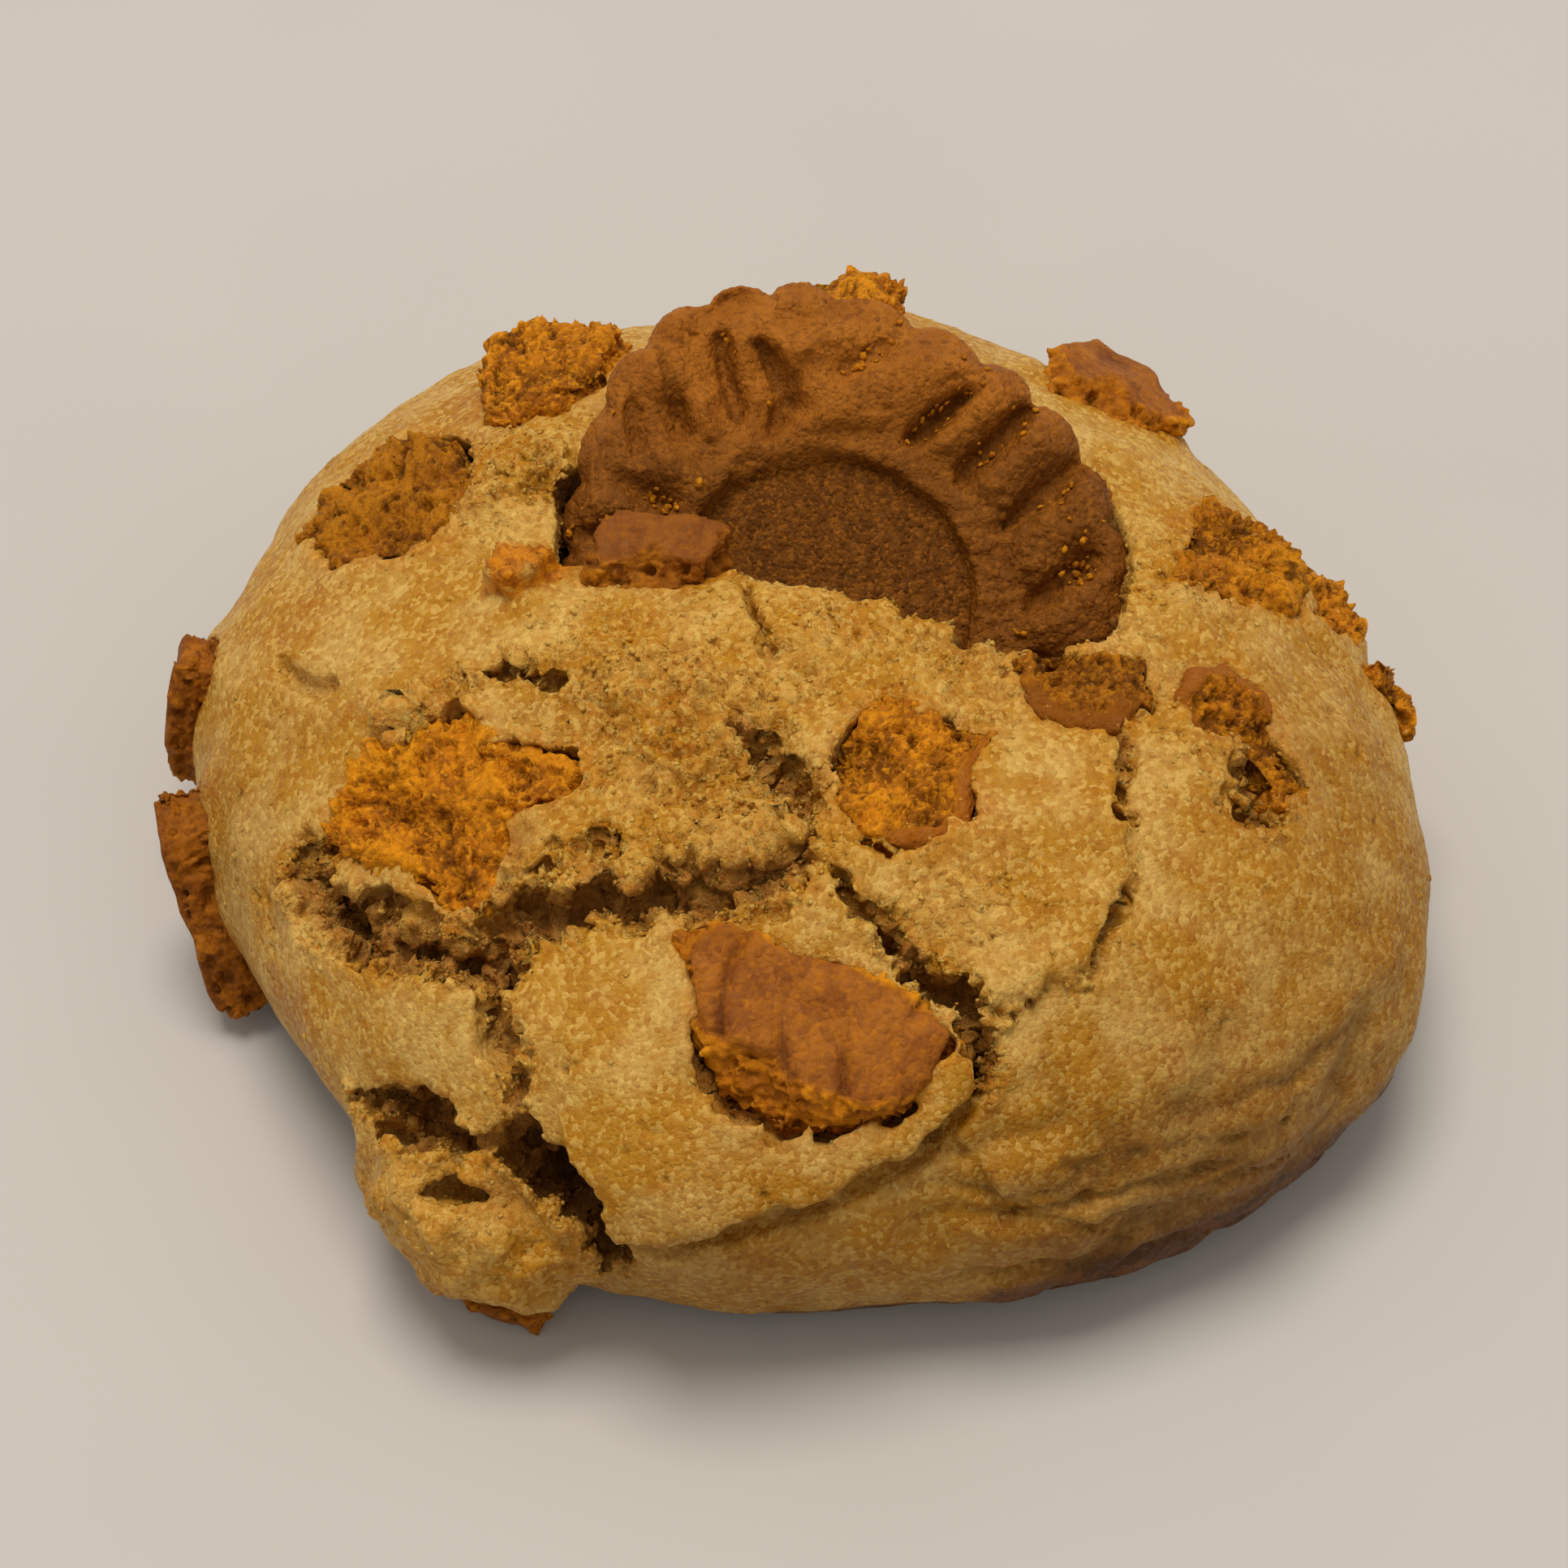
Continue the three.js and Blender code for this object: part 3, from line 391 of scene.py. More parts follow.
def dome_normals(points):
    """The direction in which the smooth dome faces at each place."""
    around = np.maximum(np.hypot(points[:, 0], points[:, 1]), 1e-6)
    share = around / plan_radius(bearing_of(points))
    rise = DOME_HEIGHT - WAIST_HEIGHT
    above = points[:, 2] > WAIST_HEIGHT
    fall = np.clip((WAIST_HEIGHT - points[:, 2]) / WAIST_HEIGHT, 0, 1)
    steep = DOME_POWER * np.maximum(share, 1e-3) ** (DOME_POWER - 1) / MEAN_RADIUS
    out = np.where(above, steep, np.sqrt(1 - fall * fall))
    up = np.where(above, 2 * (points[:, 2] - WAIST_HEIGHT) / (rise * rise), -0.6 * fall)
    normals = np.column_stack([out * points[:, 0] / around, out * points[:, 1] / around, up])
    return normals / np.maximum(np.linalg.norm(normals, axis=1, keepdims=True), 1e-9)


def depth_in(points):
    """How far points lie inside the smooth dome, in millimetres."""
    radius = np.hypot(points[:, 0], points[:, 1])
    full = plan_radius(bearing_of(points))
    z = points[:, 2]
    climb = np.clip((z - WAIST_HEIGHT) / (DOME_HEIGHT - WAIST_HEIGHT), 0, 1)
    fall = np.clip((WAIST_HEIGHT - z) / WAIST_HEIGHT, 0, 1)
    upper = full * (1 - climb * climb) ** (1 / DOME_POWER)
    lower = full - BASE_INSET + BASE_INSET * np.sqrt(1 - fall * fall)
    out = np.where(z > WAIST_HEIGHT, upper, lower) - radius
    share = np.clip(radius / full, 0, 1)
    top = WAIST_HEIGHT + (DOME_HEIGHT - WAIST_HEIGHT) * np.sqrt(1 - share**DOME_POWER)
    down = top - z
    both = np.maximum(out, 0.01) * np.maximum(down, 0.01)
    both /= np.hypot(np.maximum(out, 0.01), np.maximum(down, 0.01))
    return np.where((out > 0) & (down > 0), both, np.minimum(out, down))


# broad swellings and dips of the dough: where, how far they reach, how high
LUMPS = [
    ("front left raft", top_point(-31, -31), 9, 1.4),
    ("left shoulder raft", top_point(-41, -8), 9, 0.8),
    ("middle mass", top_point(-12, -9), 10, 1.3),
    ("raft before the round biscuit", top_point(3, -7), 6, 0.9),
    ("right raft", top_point(14, -25), 8, 1.6),
    ("front raft", top_point(-14, -36), 9, 1.5),
    ("crest behind the front piece", top_point(1, -29), 3.5, 1.6),
    ("crest right of the front piece", top_point(9, -36.5), 3.2, 1.5),
    ("front belly", side_point(262, 17), 9, 1.6),
    ("dip under the belly", side_point(272, 7), 8, -0.6),
    ("pale lump left of the round biscuit", top_point(-22.5, 13), 4.5, 2.2),
    ("raft at the right of the round biscuit", top_point(27, -1), 4, 1.0),
    ("raft by the right pieces", top_point(27, -16.5), 4.5, 1.2),
    ("right side", top_point(39, -16), 10, 0.6),
    ("small spiced crumb", top_point(-21, 0.5), 2.4, 1.6),
    ("crumbly lump beside the round biscuit", top_point(-20.4, 11.8), 2.3, 1.5),
    ("bed of the round biscuit", top_point(2, 24), 13, 3.2),
    ("foot at the right front", side_point(300, 3), 10, 1.2),
]

# cracks and folds: path, half width, depth, rise of the dough left and right of it, its fade
CRACKS = [
    (
        "hollow below the large left piece",
        trail(
            (-36, -19.5), (-34.5, -22.5), (-31.4, -26), (-28, -28.3), (-24.8, -29.6),
            (-21.4, -31),
        ),
        2.1, 4.6, 0, 0.9, 4,
    ),
    (
        "front left crack",
        trail((-21.4, -31), (-21.2, -34.8), (-19.8, -36.8), (-20, -40.5)),
        1.2, 1.9, 0.2, 0.3, 4,
    ),
    (
        "brown band",
        trail(
            (-21.8, -28.8), (-19.6, -27.3), (-17.3, -28.5), (-14.8, -26.7), (-12.4, -27.8),
            (-10.4, -26.4), (-8.2, -27.6), (-5.6, -26.2), (-3.4, -27), (-0.5, -25.3),
        ),
        2.4, 2.5, 0.7, 0.3, 4,
    ),
    (
        "ledge right of the large left piece",
        trail((-20.3, -24.6), (-17.1, -24), (-14.6, -22.7), (-12.6, -23.4)),
        0.7, 1.7, 0.7, 0, 3,
    ),
    (
        "arch over the inner shelf",
        trail(
            (-8.2, -22.8), (-6.8, -21.5), (-4.7, -21.2), (-2.6, -21.9), (-1.2, -23.4),
            (0.2, -25),
        ),
        0.65, 1.7, 0.7, 0, 3,
    ),
    (
        "deep front crack",
        trail(
            (0, -25), (1, -27), (3, -29), (5, -30.7), (7.3, -33), (9.7, -34.5), (11.4, -35.6),
            (11.1, -38.6),
        ),
        1.25, 4.2, 0.9, 0.5, 4,
    ),
    (
        "crack left of the porous piece",
        trail((0, -25), (-0.7, -23.5), (-1.4, -20.4), (-2.8, -18), (-3.8, -15.2), (-5.8, -14.3)),
        1.2, 2.6, 0.5, 0, 4,
    ),
    (
        "front fold",
        np.concatenate([
            trail((11.1, -37.4), (10.4, -39.6), (8.6, -41.3), (6.6, -42.9)),
            side_trail((274, 18.6), (268, 17.2), (262, 15.6), (256, 14.3), (250, 13.2)),
        ]),
        1.3, 1.5, 0, 1.9, 7,
    ),
    (
        "scarp of the right raft",
        trail(
            (21.7, -14), (21.3, -16.8), (20.6, -18.6), (21.7, -21.4), (21, -25.5), (19.8, -28.6),
            (18.3, -32), (14.5, -33.8), (11.8, -35.2),
        ),
        0.5, 1.56, 0, 1.2, 5,
    ),
    (
        "right front fold",
        side_trail((281, 20.5), (283.5, 18.6), (286, 15), (293, 13), (302, 12.2), (312, 12)),
        0.9, 0.5, 0.7, 0, 5,
    ),
    (
        "upper crease at the right front",
        side_trail((291, 17.6), (296, 17.5), (301, 16.8), (308, 15.4), (313, 14.6)),
        0.6, 0.9, 0.6, 0.2, 2.5,
    ),
    (
        "lower crease at the right front",
        side_trail((286, 15.6), (293, 15), (299.5, 14.6), (307, 13.4)),
        0.6, 0.9, 0.5, 0.2, 2.5,
    ),
    (
        "brow above the large left piece",
        trail((-30.5, -11.8), (-28, -9.6), (-24.8, -8), (-21.7, -7.8), (-18.8, -9)),
        0.85, 1.8, 0.8, 0, 4,
    ),
    (
        "left groove",
        trail((-39.3, -1.4), (-38.3, -3.1), (-36.5, -4.9), (-35, -5.9)),
        0.9, 1.2, 0.4, 0, 3,
    ),
    (
        "short crack before the round biscuit",
        trail((-5.2, -0.5), (-4.2, -4.5), (-3.7, -8.3)),
        1.0, 1.5, 0.2, 0.2, 3,
    ),
    (
        "torn mouth at the left front",
        side_trail(
            (227, 13.4), (231, 15), (234.5, 15.8), (238, 16.2), (243, 17), (247, 16.2),
            (250.3, 14.6), (251.5, 13.2), (253, 11.4),
        ),
        1.2, 3.6, 0.2, 1.1, 5,
    ),
    (
        "hole by the right pieces",
        trail((31, -14.5), (32, -17), (31.5, -18.6)),
        1.4, 2.6, 0, 0.6, 3,
    ),
]

# dark spaces beside the pieces and under the torn flap, as they open towards the front: where,
# half width, half height and depth
HOLLOWS = [
    ("left of the front piece", np.array([-7.7, -37, 24.8]), (1.1, 2.4, 2.8)),
    ("lower left of the front piece", np.array([-6.8, -39, 23.6]), (1.7, 2.4, 3)),
    ("below the front piece, left", np.array([-4.8, -40.6, 22.8]), (2.3, 2.3, 3)),
    ("below the front piece, middle", np.array([-1.8, -41.4, 22.4]), (2.7, 2.1, 3)),
    ("below the front piece", np.array([1.6, -41.6, 22.2]), (2.7, 1.9, 3)),
    ("below the front piece, right", np.array([4.8, -40.8, 22.2]), (2.1, 1.5, 2.6)),
    ("under the large left piece", np.array([-31, -24.4, 22.6]), (3.6, 1.9, 2.6)),
    ("under the large left piece, right", np.array([-27, -26.6, 23.6]), (2.4, 1.2, 2)),
    ("below the porous piece", np.array([5.2, -24.2, 29]), (2.9, 0.7, 1.6)),
    ("torn mouth, left pit", np.array([-27, -37.4, 15.6]), (3.1, 2.3, 5)),
    ("torn mouth, left end", np.array([-29.4, -37, 13.2]), (2.0, 1.2, 3)),
    ("torn mouth, left of the strand", np.array([-24.4, -38.9, 15.8]), (1.6, 1.5, 4)),
    ("torn mouth, right pit", np.array([-20, -40.7, 17.4]), (2.0, 2.2, 5)),
    ("torn mouth, deepest", np.array([-17.6, -42.5, 16.4]), (3.1, 2.3, 6)),
    ("torn mouth, right end", np.array([-15.7, -43.8, 14.6]), (1.9, 1.9, 5)),
    ("torn gap at the right", np.array([-14.5, -45.2, 12.2]), (1.1, 2.4, 5)),
    ("slit in the torn flap", np.array([-24.6, -42.2, 14]), (3, 1.1, 3)),
]
# tilt from upright of the way that they open, in degrees
OPENING_TILT = 41

# broken pieces of biscuit: outline on the dough, thickness, how far the face stands above the
# dough, its tip about the x axis in degrees, how crumbly it is, whether its baked face shows
PIECES = {
    "chunk_back_left": (
        trail(
            (-25.5, 19.5), (-26.3, 24.5), (-24.4, 29.5), (-17.5, 30.5), (-14.2, 28.5),
            (-15.2, 21.5), (-19.5, 18.5),
        ),
        7, 3.2, 8, 0.45, False,
    ),
    "chunk_left": (
        trail(
            (-36.5, 5.5), (-38.5, 11), (-37, 18), (-32.5, 22), (-26.8, 20), (-24, 14.5), (-25, 8.5),
            (-29.5, 5),
        ),
        6, 1.6, 0, 0.9, False,
    ),
    "chunk_by_biscuit": (
        trail(
            (-16.8, -0.4), (-16.4, 3.6), (-14.8, 5.6), (-11.7, 5.2), (-6.2, 4.2), (-5.9, 2.0),
            (-7.2, -1.2), (-11.2, -2.1),
        ),
        4.6, 2.2, 4, 0.35, True,
    ),
    "chunk_left_edge": (
        side_trail((168.5, 8), (167.5, 13), (172, 18), (177.5, 18.5), (181, 12), (178, 5)),
        6.5, 3.6, 0, 0.3, True,
    ),
    "chunk_left_low": (
        side_trail(
            (187.5, 11.5), (188.5, 16.8), (194, 16), (199.5, 10), (204, 2.8), (201, 1.2), (195, 4),
            (189.5, 7),
        ),
        7, 4.6, 0, 0.3, True,
    ),
    "chunk_large_left": (
        trail(
            (-36, -18.5), (-34.5, -14.5), (-28, -10.5), (-25.5, -9.6), (-21.5, -13.2),
            (-15.5, -15.8), (-15.5, -19.2), (-20, -20.8), (-22.3, -27.6), (-25, -27.2),
            (-29.5, -21.5),
        ),
        6.5, 1.3, 0, 0.9, False,
    ),
    "chunk_porous": (
        trail(
            (0, -18.5), (2.8, -12.8), (5.2, -11.2), (13, -14.4), (11.8, -17), (11, -22.6),
            (9.2, -24.6), (5, -25), (2, -23.6),
        ),
        6.5, 1.2, -4, 0.55, False,
    ),
    "chunk_right_inner": (
        trail(
            (13.6, -8.4), (14.8, -12.4), (17.5, -14.4), (21.4, -14), (24.6, -10.4), (24, -6.4),
            (19.5, -5.8), (15.6, -6.4),
        ),
        6, 1.8, 0, 0.6, False,
    ),
    "chunk_right_outer": (
        trail(
            (25.4, -9.5), (26.2, -13), (29.5, -13.6), (31.2, -14.8), (33.2, -18.2), (36.2, -16),
            (33.6, -11.5), (32.4, -7), (29.4, -5.2), (26.6, -6.4),
        ),
        6, 0.9, 0, 0.7, False,
    ),
    "chunk_right_shoulder": (
        trail(
            (26.6, 2.4), (27.2, 7.8), (29.6, 12.8), (34.2, 13.8), (36.6, 8.4), (36.4, 2.8),
            (31, 0.6),
        ),
        6, 1.5, 0, 0.9, False,
    ),
    "chunk_right_edge": (
        trail((37, 3.6), (37.4, 9.2), (39.2, 12.4), (41.8, 9.8), (41.6, 5.2), (39.6, 3)),
        5, 1.6, 0, 0.7, False,
    ),
    "chunk_right_rim": (
        side_trail((359, 15), (0.5, 18.6), (4, 19), (6.5, 16), (4, 12.8), (0.5, 12.6)),
        5, 2.3, 0, 0.6, False,
    ),
    "chunk_back_right": (
        trail((18.5, 24.8), (18, 30.3), (21, 33.7), (26, 31.5), (29, 25.4), (26, 22.5)),
        5.5, 3.6, 16, 0.45, True,
    ),
    "chunk_back": (
        trail((-2.6, 33), (-1.8, 37), (3.4, 38.8), (7.8, 36.8), (7.4, 32.6), (2, 31)),
        5.5, 2.9, 20, 0.6, False,
    ),
    "chunk_front_crust": (
        trail(
            (-10.2, -30.2), (-9, -32.8), (-8.2, -37.4), (-6.6, -40.6), (-2.6, -43.2), (4.8, -42.5),
            (8.2, -40), (10, -37.2), (6, -34.6), (1.6, -32.4), (-2.4, -31.4), (-6.4, -29.6),
        ),
        6.5, 3.2, -5, 0.5, True,
    ),
    "chunk_under_flap": (
        side_trail((233.5, 2.6), (236, 5.2), (241, 5), (247, 4.4), (246.5, 0.9), (237.5, 0.6)),
        7.5, 5.9, 0, 0.5, True,
    ),
}

# how much darker some pieces are baked
DARKER = {
    "chunk_by_biscuit": 0.4,
    "chunk_left": 0.4,
    "chunk_left_edge": 0.35,
    "chunk_left_low": 0.4,
    "chunk_right_inner": 0.35,
    "chunk_right_outer": 0.15,
    "chunk_right_shoulder": 0.15,
    "chunk_under_flap": 0.3,
}
# how much brighter the crumb of some pieces is
BRIGHTER = {"chunk_front_crust": 0.15, "chunk_large_left": 0.2}
# how much of the darkness of their pores the pieces show, and some of them less
PORE_SHARE = 0.8
SOFTER_PORES = {"chunk_large_left": 0.6, "chunk_porous": 0.75}
# the side on which a smooth baked rim shows on some crumb pieces, in their own plane
RIMMED = {
    "chunk_porous": (0.8, -0.6),
    "chunk_right_inner": (-0.1, -1.0),
    "chunk_right_outer": (-0.3, 0.9),
}
# how deep the lines on a baked face are
RIDGED = {"chunk_front_crust": 0.6}
# the way in which the pieces with a face are broken off, in their own plane, how wide and how deep
BROKEN_WAY = np.array([0.3, 0.95])
BROKEN_MARGIN = 3.5
BROKEN_DROP = 1.7

# the edge of the dough that hangs over the round biscuit, in plan
LIP_EDGE = [
    (-30, 1.5), (-17, 1.2), (-6, 0.2), (0, -1.6), (5.5, -3), (6.2, -4.6),
    (9.7, -4.3), (11, -6.1), (15, -6.9), (19, -6.2), (23.5, -5), (30, -3),
]


def within(points, path, far):
    """Numbers of the points that lie within a path's box, grown by far."""
    inside = (points > path.min(0) - far) & (points < path.max(0) + far)
    return np.flatnonzero(inside.all(1))


def nearest_on(path, points):
    """Distance to a path, the nearest place on it, its way there and whether that is its end."""
    best = np.full(len(points), np.inf)
    spot = np.zeros((len(points), 3))
    run = np.zeros((len(points), 3))
    at_end = np.zeros(len(points), bool)
    last = len(path) - 2
    for i, (start, stop) in enumerate(zip(path[:-1], path[1:])):
        step = stop - start
        share = np.clip((points - start) @ step / (step @ step), 0, 1)
        place = start + share[:, None] * step
        distance = np.linalg.norm(points - place, axis=1)
        nearer = distance < best
        best[nearer] = distance[nearer]
        spot[nearer] = place[nearer]
        run[nearer] = step
        at_end[nearer] = ((i == 0) & (share <= 0) | (i == last) & (share >= 1))[nearer]
    return best, spot, run, at_end


def cracked(points, normals):
    """Height that the cracks give along the normals, and the slide of their lips across them."""
    height = np.zeros(len(points))
    slide = np.zeros((len(points), 3))
    warp = 1.3 * shift_noise(points, 3.1, 301) + 0.8 * shift_noise(points, 1.4, 305)
    warp += 0.5 * shift_noise(points, 0.7, 309)
    ragged = points + warp - np.einsum("ij,ij->i", warp, normals)[:, None] * normals
    soft = points + SOFT_WARP * (ragged - points)
    for number, (_, path, width, depth, left, right, fade) in enumerate(CRACKS):
        far = 3 * fade
        here = within(points, path, far)
        place = (soft if depth < SOFT_FOLD else ragged)[here]
        distance, spot, run, at_end = nearest_on(path, place)
        seed = 320 + number
        breadth = width * (0.85 + 0.3 * noise(spot, 3.1, seed))
        wall = 1 - smoothstep(distance, 0.45 * breadth, 0.95 * breadth)
        deep = depth * (1 + 0.3 * noise(points[here], 2.3, seed + 20))
        across = np.einsum("ij,ij->i", np.cross(run, normals[here]), points[here] - spot)
        rise = np.where(across < 0, left, right)
        tail = np.where(at_end, np.exp(-distance / 2), 1)
        tail = tail * (distance < far)
        swell = rise * np.exp(-distance / fade) * smoothstep(distance, 0, breadth)
        height[here] += swell * tail - deep * wall
        lip = smoothstep(distance, 0.5 * breadth, 1.1 * breadth) * np.exp(-distance / 1.6)
        lean = 0.8 * np.minimum(rise, 1) * lip * tail
        toward = (spot - place) / np.maximum(distance, 0.05)[:, None]
        slide[here] += toward * lean[:, None]
    return height, slide


def lump_height(points):
    """How far the broad swellings raise each place."""
    height = np.zeros(len(points))
    for _, at, reach, lift in LUMPS:
        height += lift * near(points, at, reach)
    return height


def beyond_piece(points, piece):
    """How far places lie outside a piece's outline and above its middle, and their way from it."""
    outline, _, proud, tip, _, _ = piece
    middle, out, east, north, corners = piece_frame(outline, proud, tip)
    step = points - middle
    flat = np.column_stack([step @ east, step @ north])
    span = np.maximum(np.linalg.norm(flat, axis=1), 1e-6)
    reach = reach_of(corners, np.arctan2(flat[:, 1], flat[:, 0]))
    return span - reach, step @ out, flat / span[:, None]


def lapping(points):
    """How far the dough laps up round the broken pieces."""
    height = np.zeros(len(points))
    for number, piece in enumerate(PIECES.values()):
        middle = piece[0].mean(0)
        here = np.flatnonzero(np.linalg.norm(points - middle, axis=1) < 18)
        beyond, above, _ = beyond_piece(points[here], piece)
        edge = np.exp(-((np.maximum(beyond, 0) / 1.5) ** 2)) * (np.abs(above) < 6)
        uneven = 0.55 + 0.8 * noise(points[here], 2.8, 345 + number)
        height[here] = np.maximum(height[here], 0.6 * edge * uneven)
    return height


def wrinkles(points):
    """Soft lying folds low at the right front: their height and how far places are in a crease."""
    bearing = bearing_of(points) % 360
    low = smoothstep(points[:, 2], 2, 5) * (1 - smoothstep(points[:, 2], 17, 25))
    share = smoothstep(bearing, 272, 288) * (1 - smoothstep(bearing, 322, 345)) * low
    radius = np.hypot(points[:, 0], points[:, 1])
    lying = np.column_stack([bearing * 0.07, points[:, 2] / 2.7, radius / 9])
    lying[:, 1] += 0.7 * noise(points, 8, 341) + 0.3 * noise(points, 2.2, 343)
    fold = np.abs(noise(lying, 1, 342) + 0.12 * rough(points, 1.4, 2, 347))
    return share * (1.8 * fold**0.7 - 0.55), share * (1 - smoothstep(fold, 0.02, 0.2))


def ball(subdivisions):
    """Unit ball of even little triangles."""
    bm = bmesh.new()
    bmesh.ops.create_icosphere(bm, subdivisions=subdivisions, radius=1)
    return bm


def directions_of(bm):
    """Directions of the points of a ball."""
    return np.array([vert.co[:] for vert in bm.verts])


def move_points(bm, points):
    """Puts the points of a bmesh at new places."""
    for vert, point in zip(bm.verts, points):
        vert.co = point


def dome_object():
    """The dome with its swellings and cracks."""
    bm = ball(8)
    directions = directions_of(bm)
    base = dome_points(directions)
    normals = dome_normals(base)
    crack_height, slide = cracked(base, normals)
    height = lump_height(base) + crack_height
    height += SKIN_ROUGHNESS * noise(base, 8, 11)
    height += 0.6 * SKIN_ROUGHNESS * noise(base, 3.6, 12)
    height += wrinkles(base)[0] + lapping(base)
    grounded = smoothstep(base[:, 2], 0.2, 4)[:, None]
    move_points(bm, base + grounded * (slide + height[:, None] * normals))
    return put("baked_dough", bm)


def flap_object():
    """The torn flap of dough that hangs at the left front."""
    bm = ball(7)
    directions = directions_of(bm)
    middle = side_point(239.5, 8.5) * 0.985
    middle[2] = 9.8
    out = np.array([middle[0], middle[1], 0]) / math.hypot(middle[0], middle[1])
    along = np.array([-out[1], out[0], 0])
    side = directions @ along
    front = directions @ out
    points = middle + np.outer(10 * side, along) + np.outer((6.3 + 1.2 * side) * front, out)
    points[:, 2] += (6.6 - 2 * side) * directions[:, 2]
    points += (0.9 * noise(points, 3.2, 31))[:, None] * directions
    points += (1.1 * rough(points, 2.2, 2, 351))[:, None] * directions
    points[:, 2] = np.maximum(points[:, 2], 0)
    move_points(bm, points)
    return put("flap", bm)


def hollow_object(at, size, seed):
    """A ragged dark space to cut out of the dough."""
    bm = ball(5)
    directions = directions_of(bm)
    points = np.array(size) * directions * (1 + 0.2 * noise(directions, 0.5, seed))[:, None]
    points = points @ np.array(Matrix.Rotation(math.radians(-OPENING_TILT), 3, "X")) + at
    points += 0.6 * shift_noise(points, 1.5, seed + 40) + 0.4 * shift_noise(points, 0.7, seed + 45)
    move_points(bm, points)
    return put("hollow", bm)


def piece_frame(outline, proud, tip):
    """Middle of a piece on the dough, the way its face looks, its two plan axes and its corners."""
    middle = outline.mean(0)
    spot = top_point(middle[0], middle[1])
    on_side = middle[2] < spot[2] - 2 or middle[2] < WAIST_HEIGHT + 4
    out = dome_normals((middle if on_side else spot)[None])[0]
    out = np.array(Matrix.Rotation(math.radians(tip), 3, "X") @ Vector(out))
    middle = middle + out * lump_height(middle[None])[0]
    east = np.array([-out[1], out[0], 0])
    if abs(out[2]) > 0.35:
        east = np.array([1, 0, 0]) - out[0] * out
    east /= np.linalg.norm(east)
    north = np.cross(out, east)
    steps = outline - middle
    corners = np.column_stack([steps @ east, steps @ north])
    return middle, out, east, north, corners


def reach_of(corners, bearing):
    """Distance from the middle to the outline at each bearing of the piece's own plane."""
    ray = np.column_stack([np.cos(bearing), np.sin(bearing)])
    reach = np.zeros(len(bearing))
    for a, b in zip(corners, np.roll(corners, -1, axis=0)):
        edge = b - a
        cross = ray[:, 0] * edge[1] - ray[:, 1] * edge[0]
        safe = np.where(np.abs(cross) < 1e-9, 1, cross)
        along = (a[0] * edge[1] - a[1] * edge[0]) / safe
        share = (a[0] * ray[:, 1] - a[1] * ray[:, 0]) / safe
        hit = (np.abs(cross) > 1e-9) & (along > 0) & (share >= -1e-6) & (share <= 1 + 1e-6)
        reach = np.where(hit, np.maximum(reach, along), reach)
    return reach


def ragged_outline(corners, grow, seed):
    """The outline of a piece in short steps, grown outwards and made a little ragged."""
    bearing = np.linspace(-math.pi, math.pi, 241)[:-1]
    reach = reach_of(corners, bearing) + grow
    ring = np.column_stack([np.cos(bearing), np.sin(bearing), 0 * bearing])
    reach += 1.7 * rough(ring * reach[:, None], 2.4, 4, seed, 0.7)
    return [(r * c, r * s) for r, c, s in zip(reach, ring[:, 0], ring[:, 1])]


def block(name, outline, low, high, place):
    """Closed block over an outline, turned and moved to its place."""
    bm = bmesh.new()
    face = bm.faces.new([bm.verts.new((x, y, low)) for x, y in outline])
    result = bmesh.ops.extrude_face_region(bm, geom=[face], use_keep_orig=True)
    raised = [item for item in result["geom"] if isinstance(item, bmesh.types.BMVert)]
    bmesh.ops.translate(bm, verts=raised, vec=(0, 0, high - low))
    bmesh.ops.recalc_face_normals(bm, faces=bm.faces)
    bm.transform(place)
    return put(name, bm)


def pocket_object(piece, seed):
    """The pocket of a broken piece in the dough, open to the outside."""
    outline, thickness, proud, tip, _, _ = piece
    middle, out, east, north, corners = piece_frame(outline, proud, tip)
    place = Matrix.Identity(4)
    for column, axis in enumerate((east, north, out, middle)):
        place.col[column][:3] = axis
    low = proud - thickness + 0.3
    high = low + thickness + POCKET_HEADROOM
    return block("pocket", ragged_outline(corners, -0.8, seed), low, high, place)


def turned(profile, steps):
    """Closed round body about the upright axis, from a half section in millimetres."""
    bm = bmesh.new()
    verts = [bm.verts.new((radius, 0, z)) for radius, z in profile]
    edges = [bm.edges.new(pair) for pair in zip(verts, verts[1:])]
    bmesh.ops.spin(
        bm, geom=verts + edges, cent=(0, 0, 0), axis=(0, 0, 1), angle=2 * math.pi, steps=steps,
        use_merge=True,
    )
    bmesh.ops.remove_doubles(bm, verts=bm.verts, dist=1e-4)
    bmesh.ops.recalc_face_normals(bm, faces=bm.faces)
    return bm


def rim_swell(bearing):
    """How far the rim of the round biscuit has swollen outwards at each bearing."""
    turn = (bearing - SWELL_BEARING + 180) % 360 - 180
    return SWELL_REACH * np.exp(-turn * turn / (2 * SWELL_SPREAD**2))


BISCUIT_PLACE = Matrix.Translation(Vector(BISCUIT_CENTRE)) @ Matrix.Rotation(
    math.radians(BISCUIT_TILT), 4, "X"
)


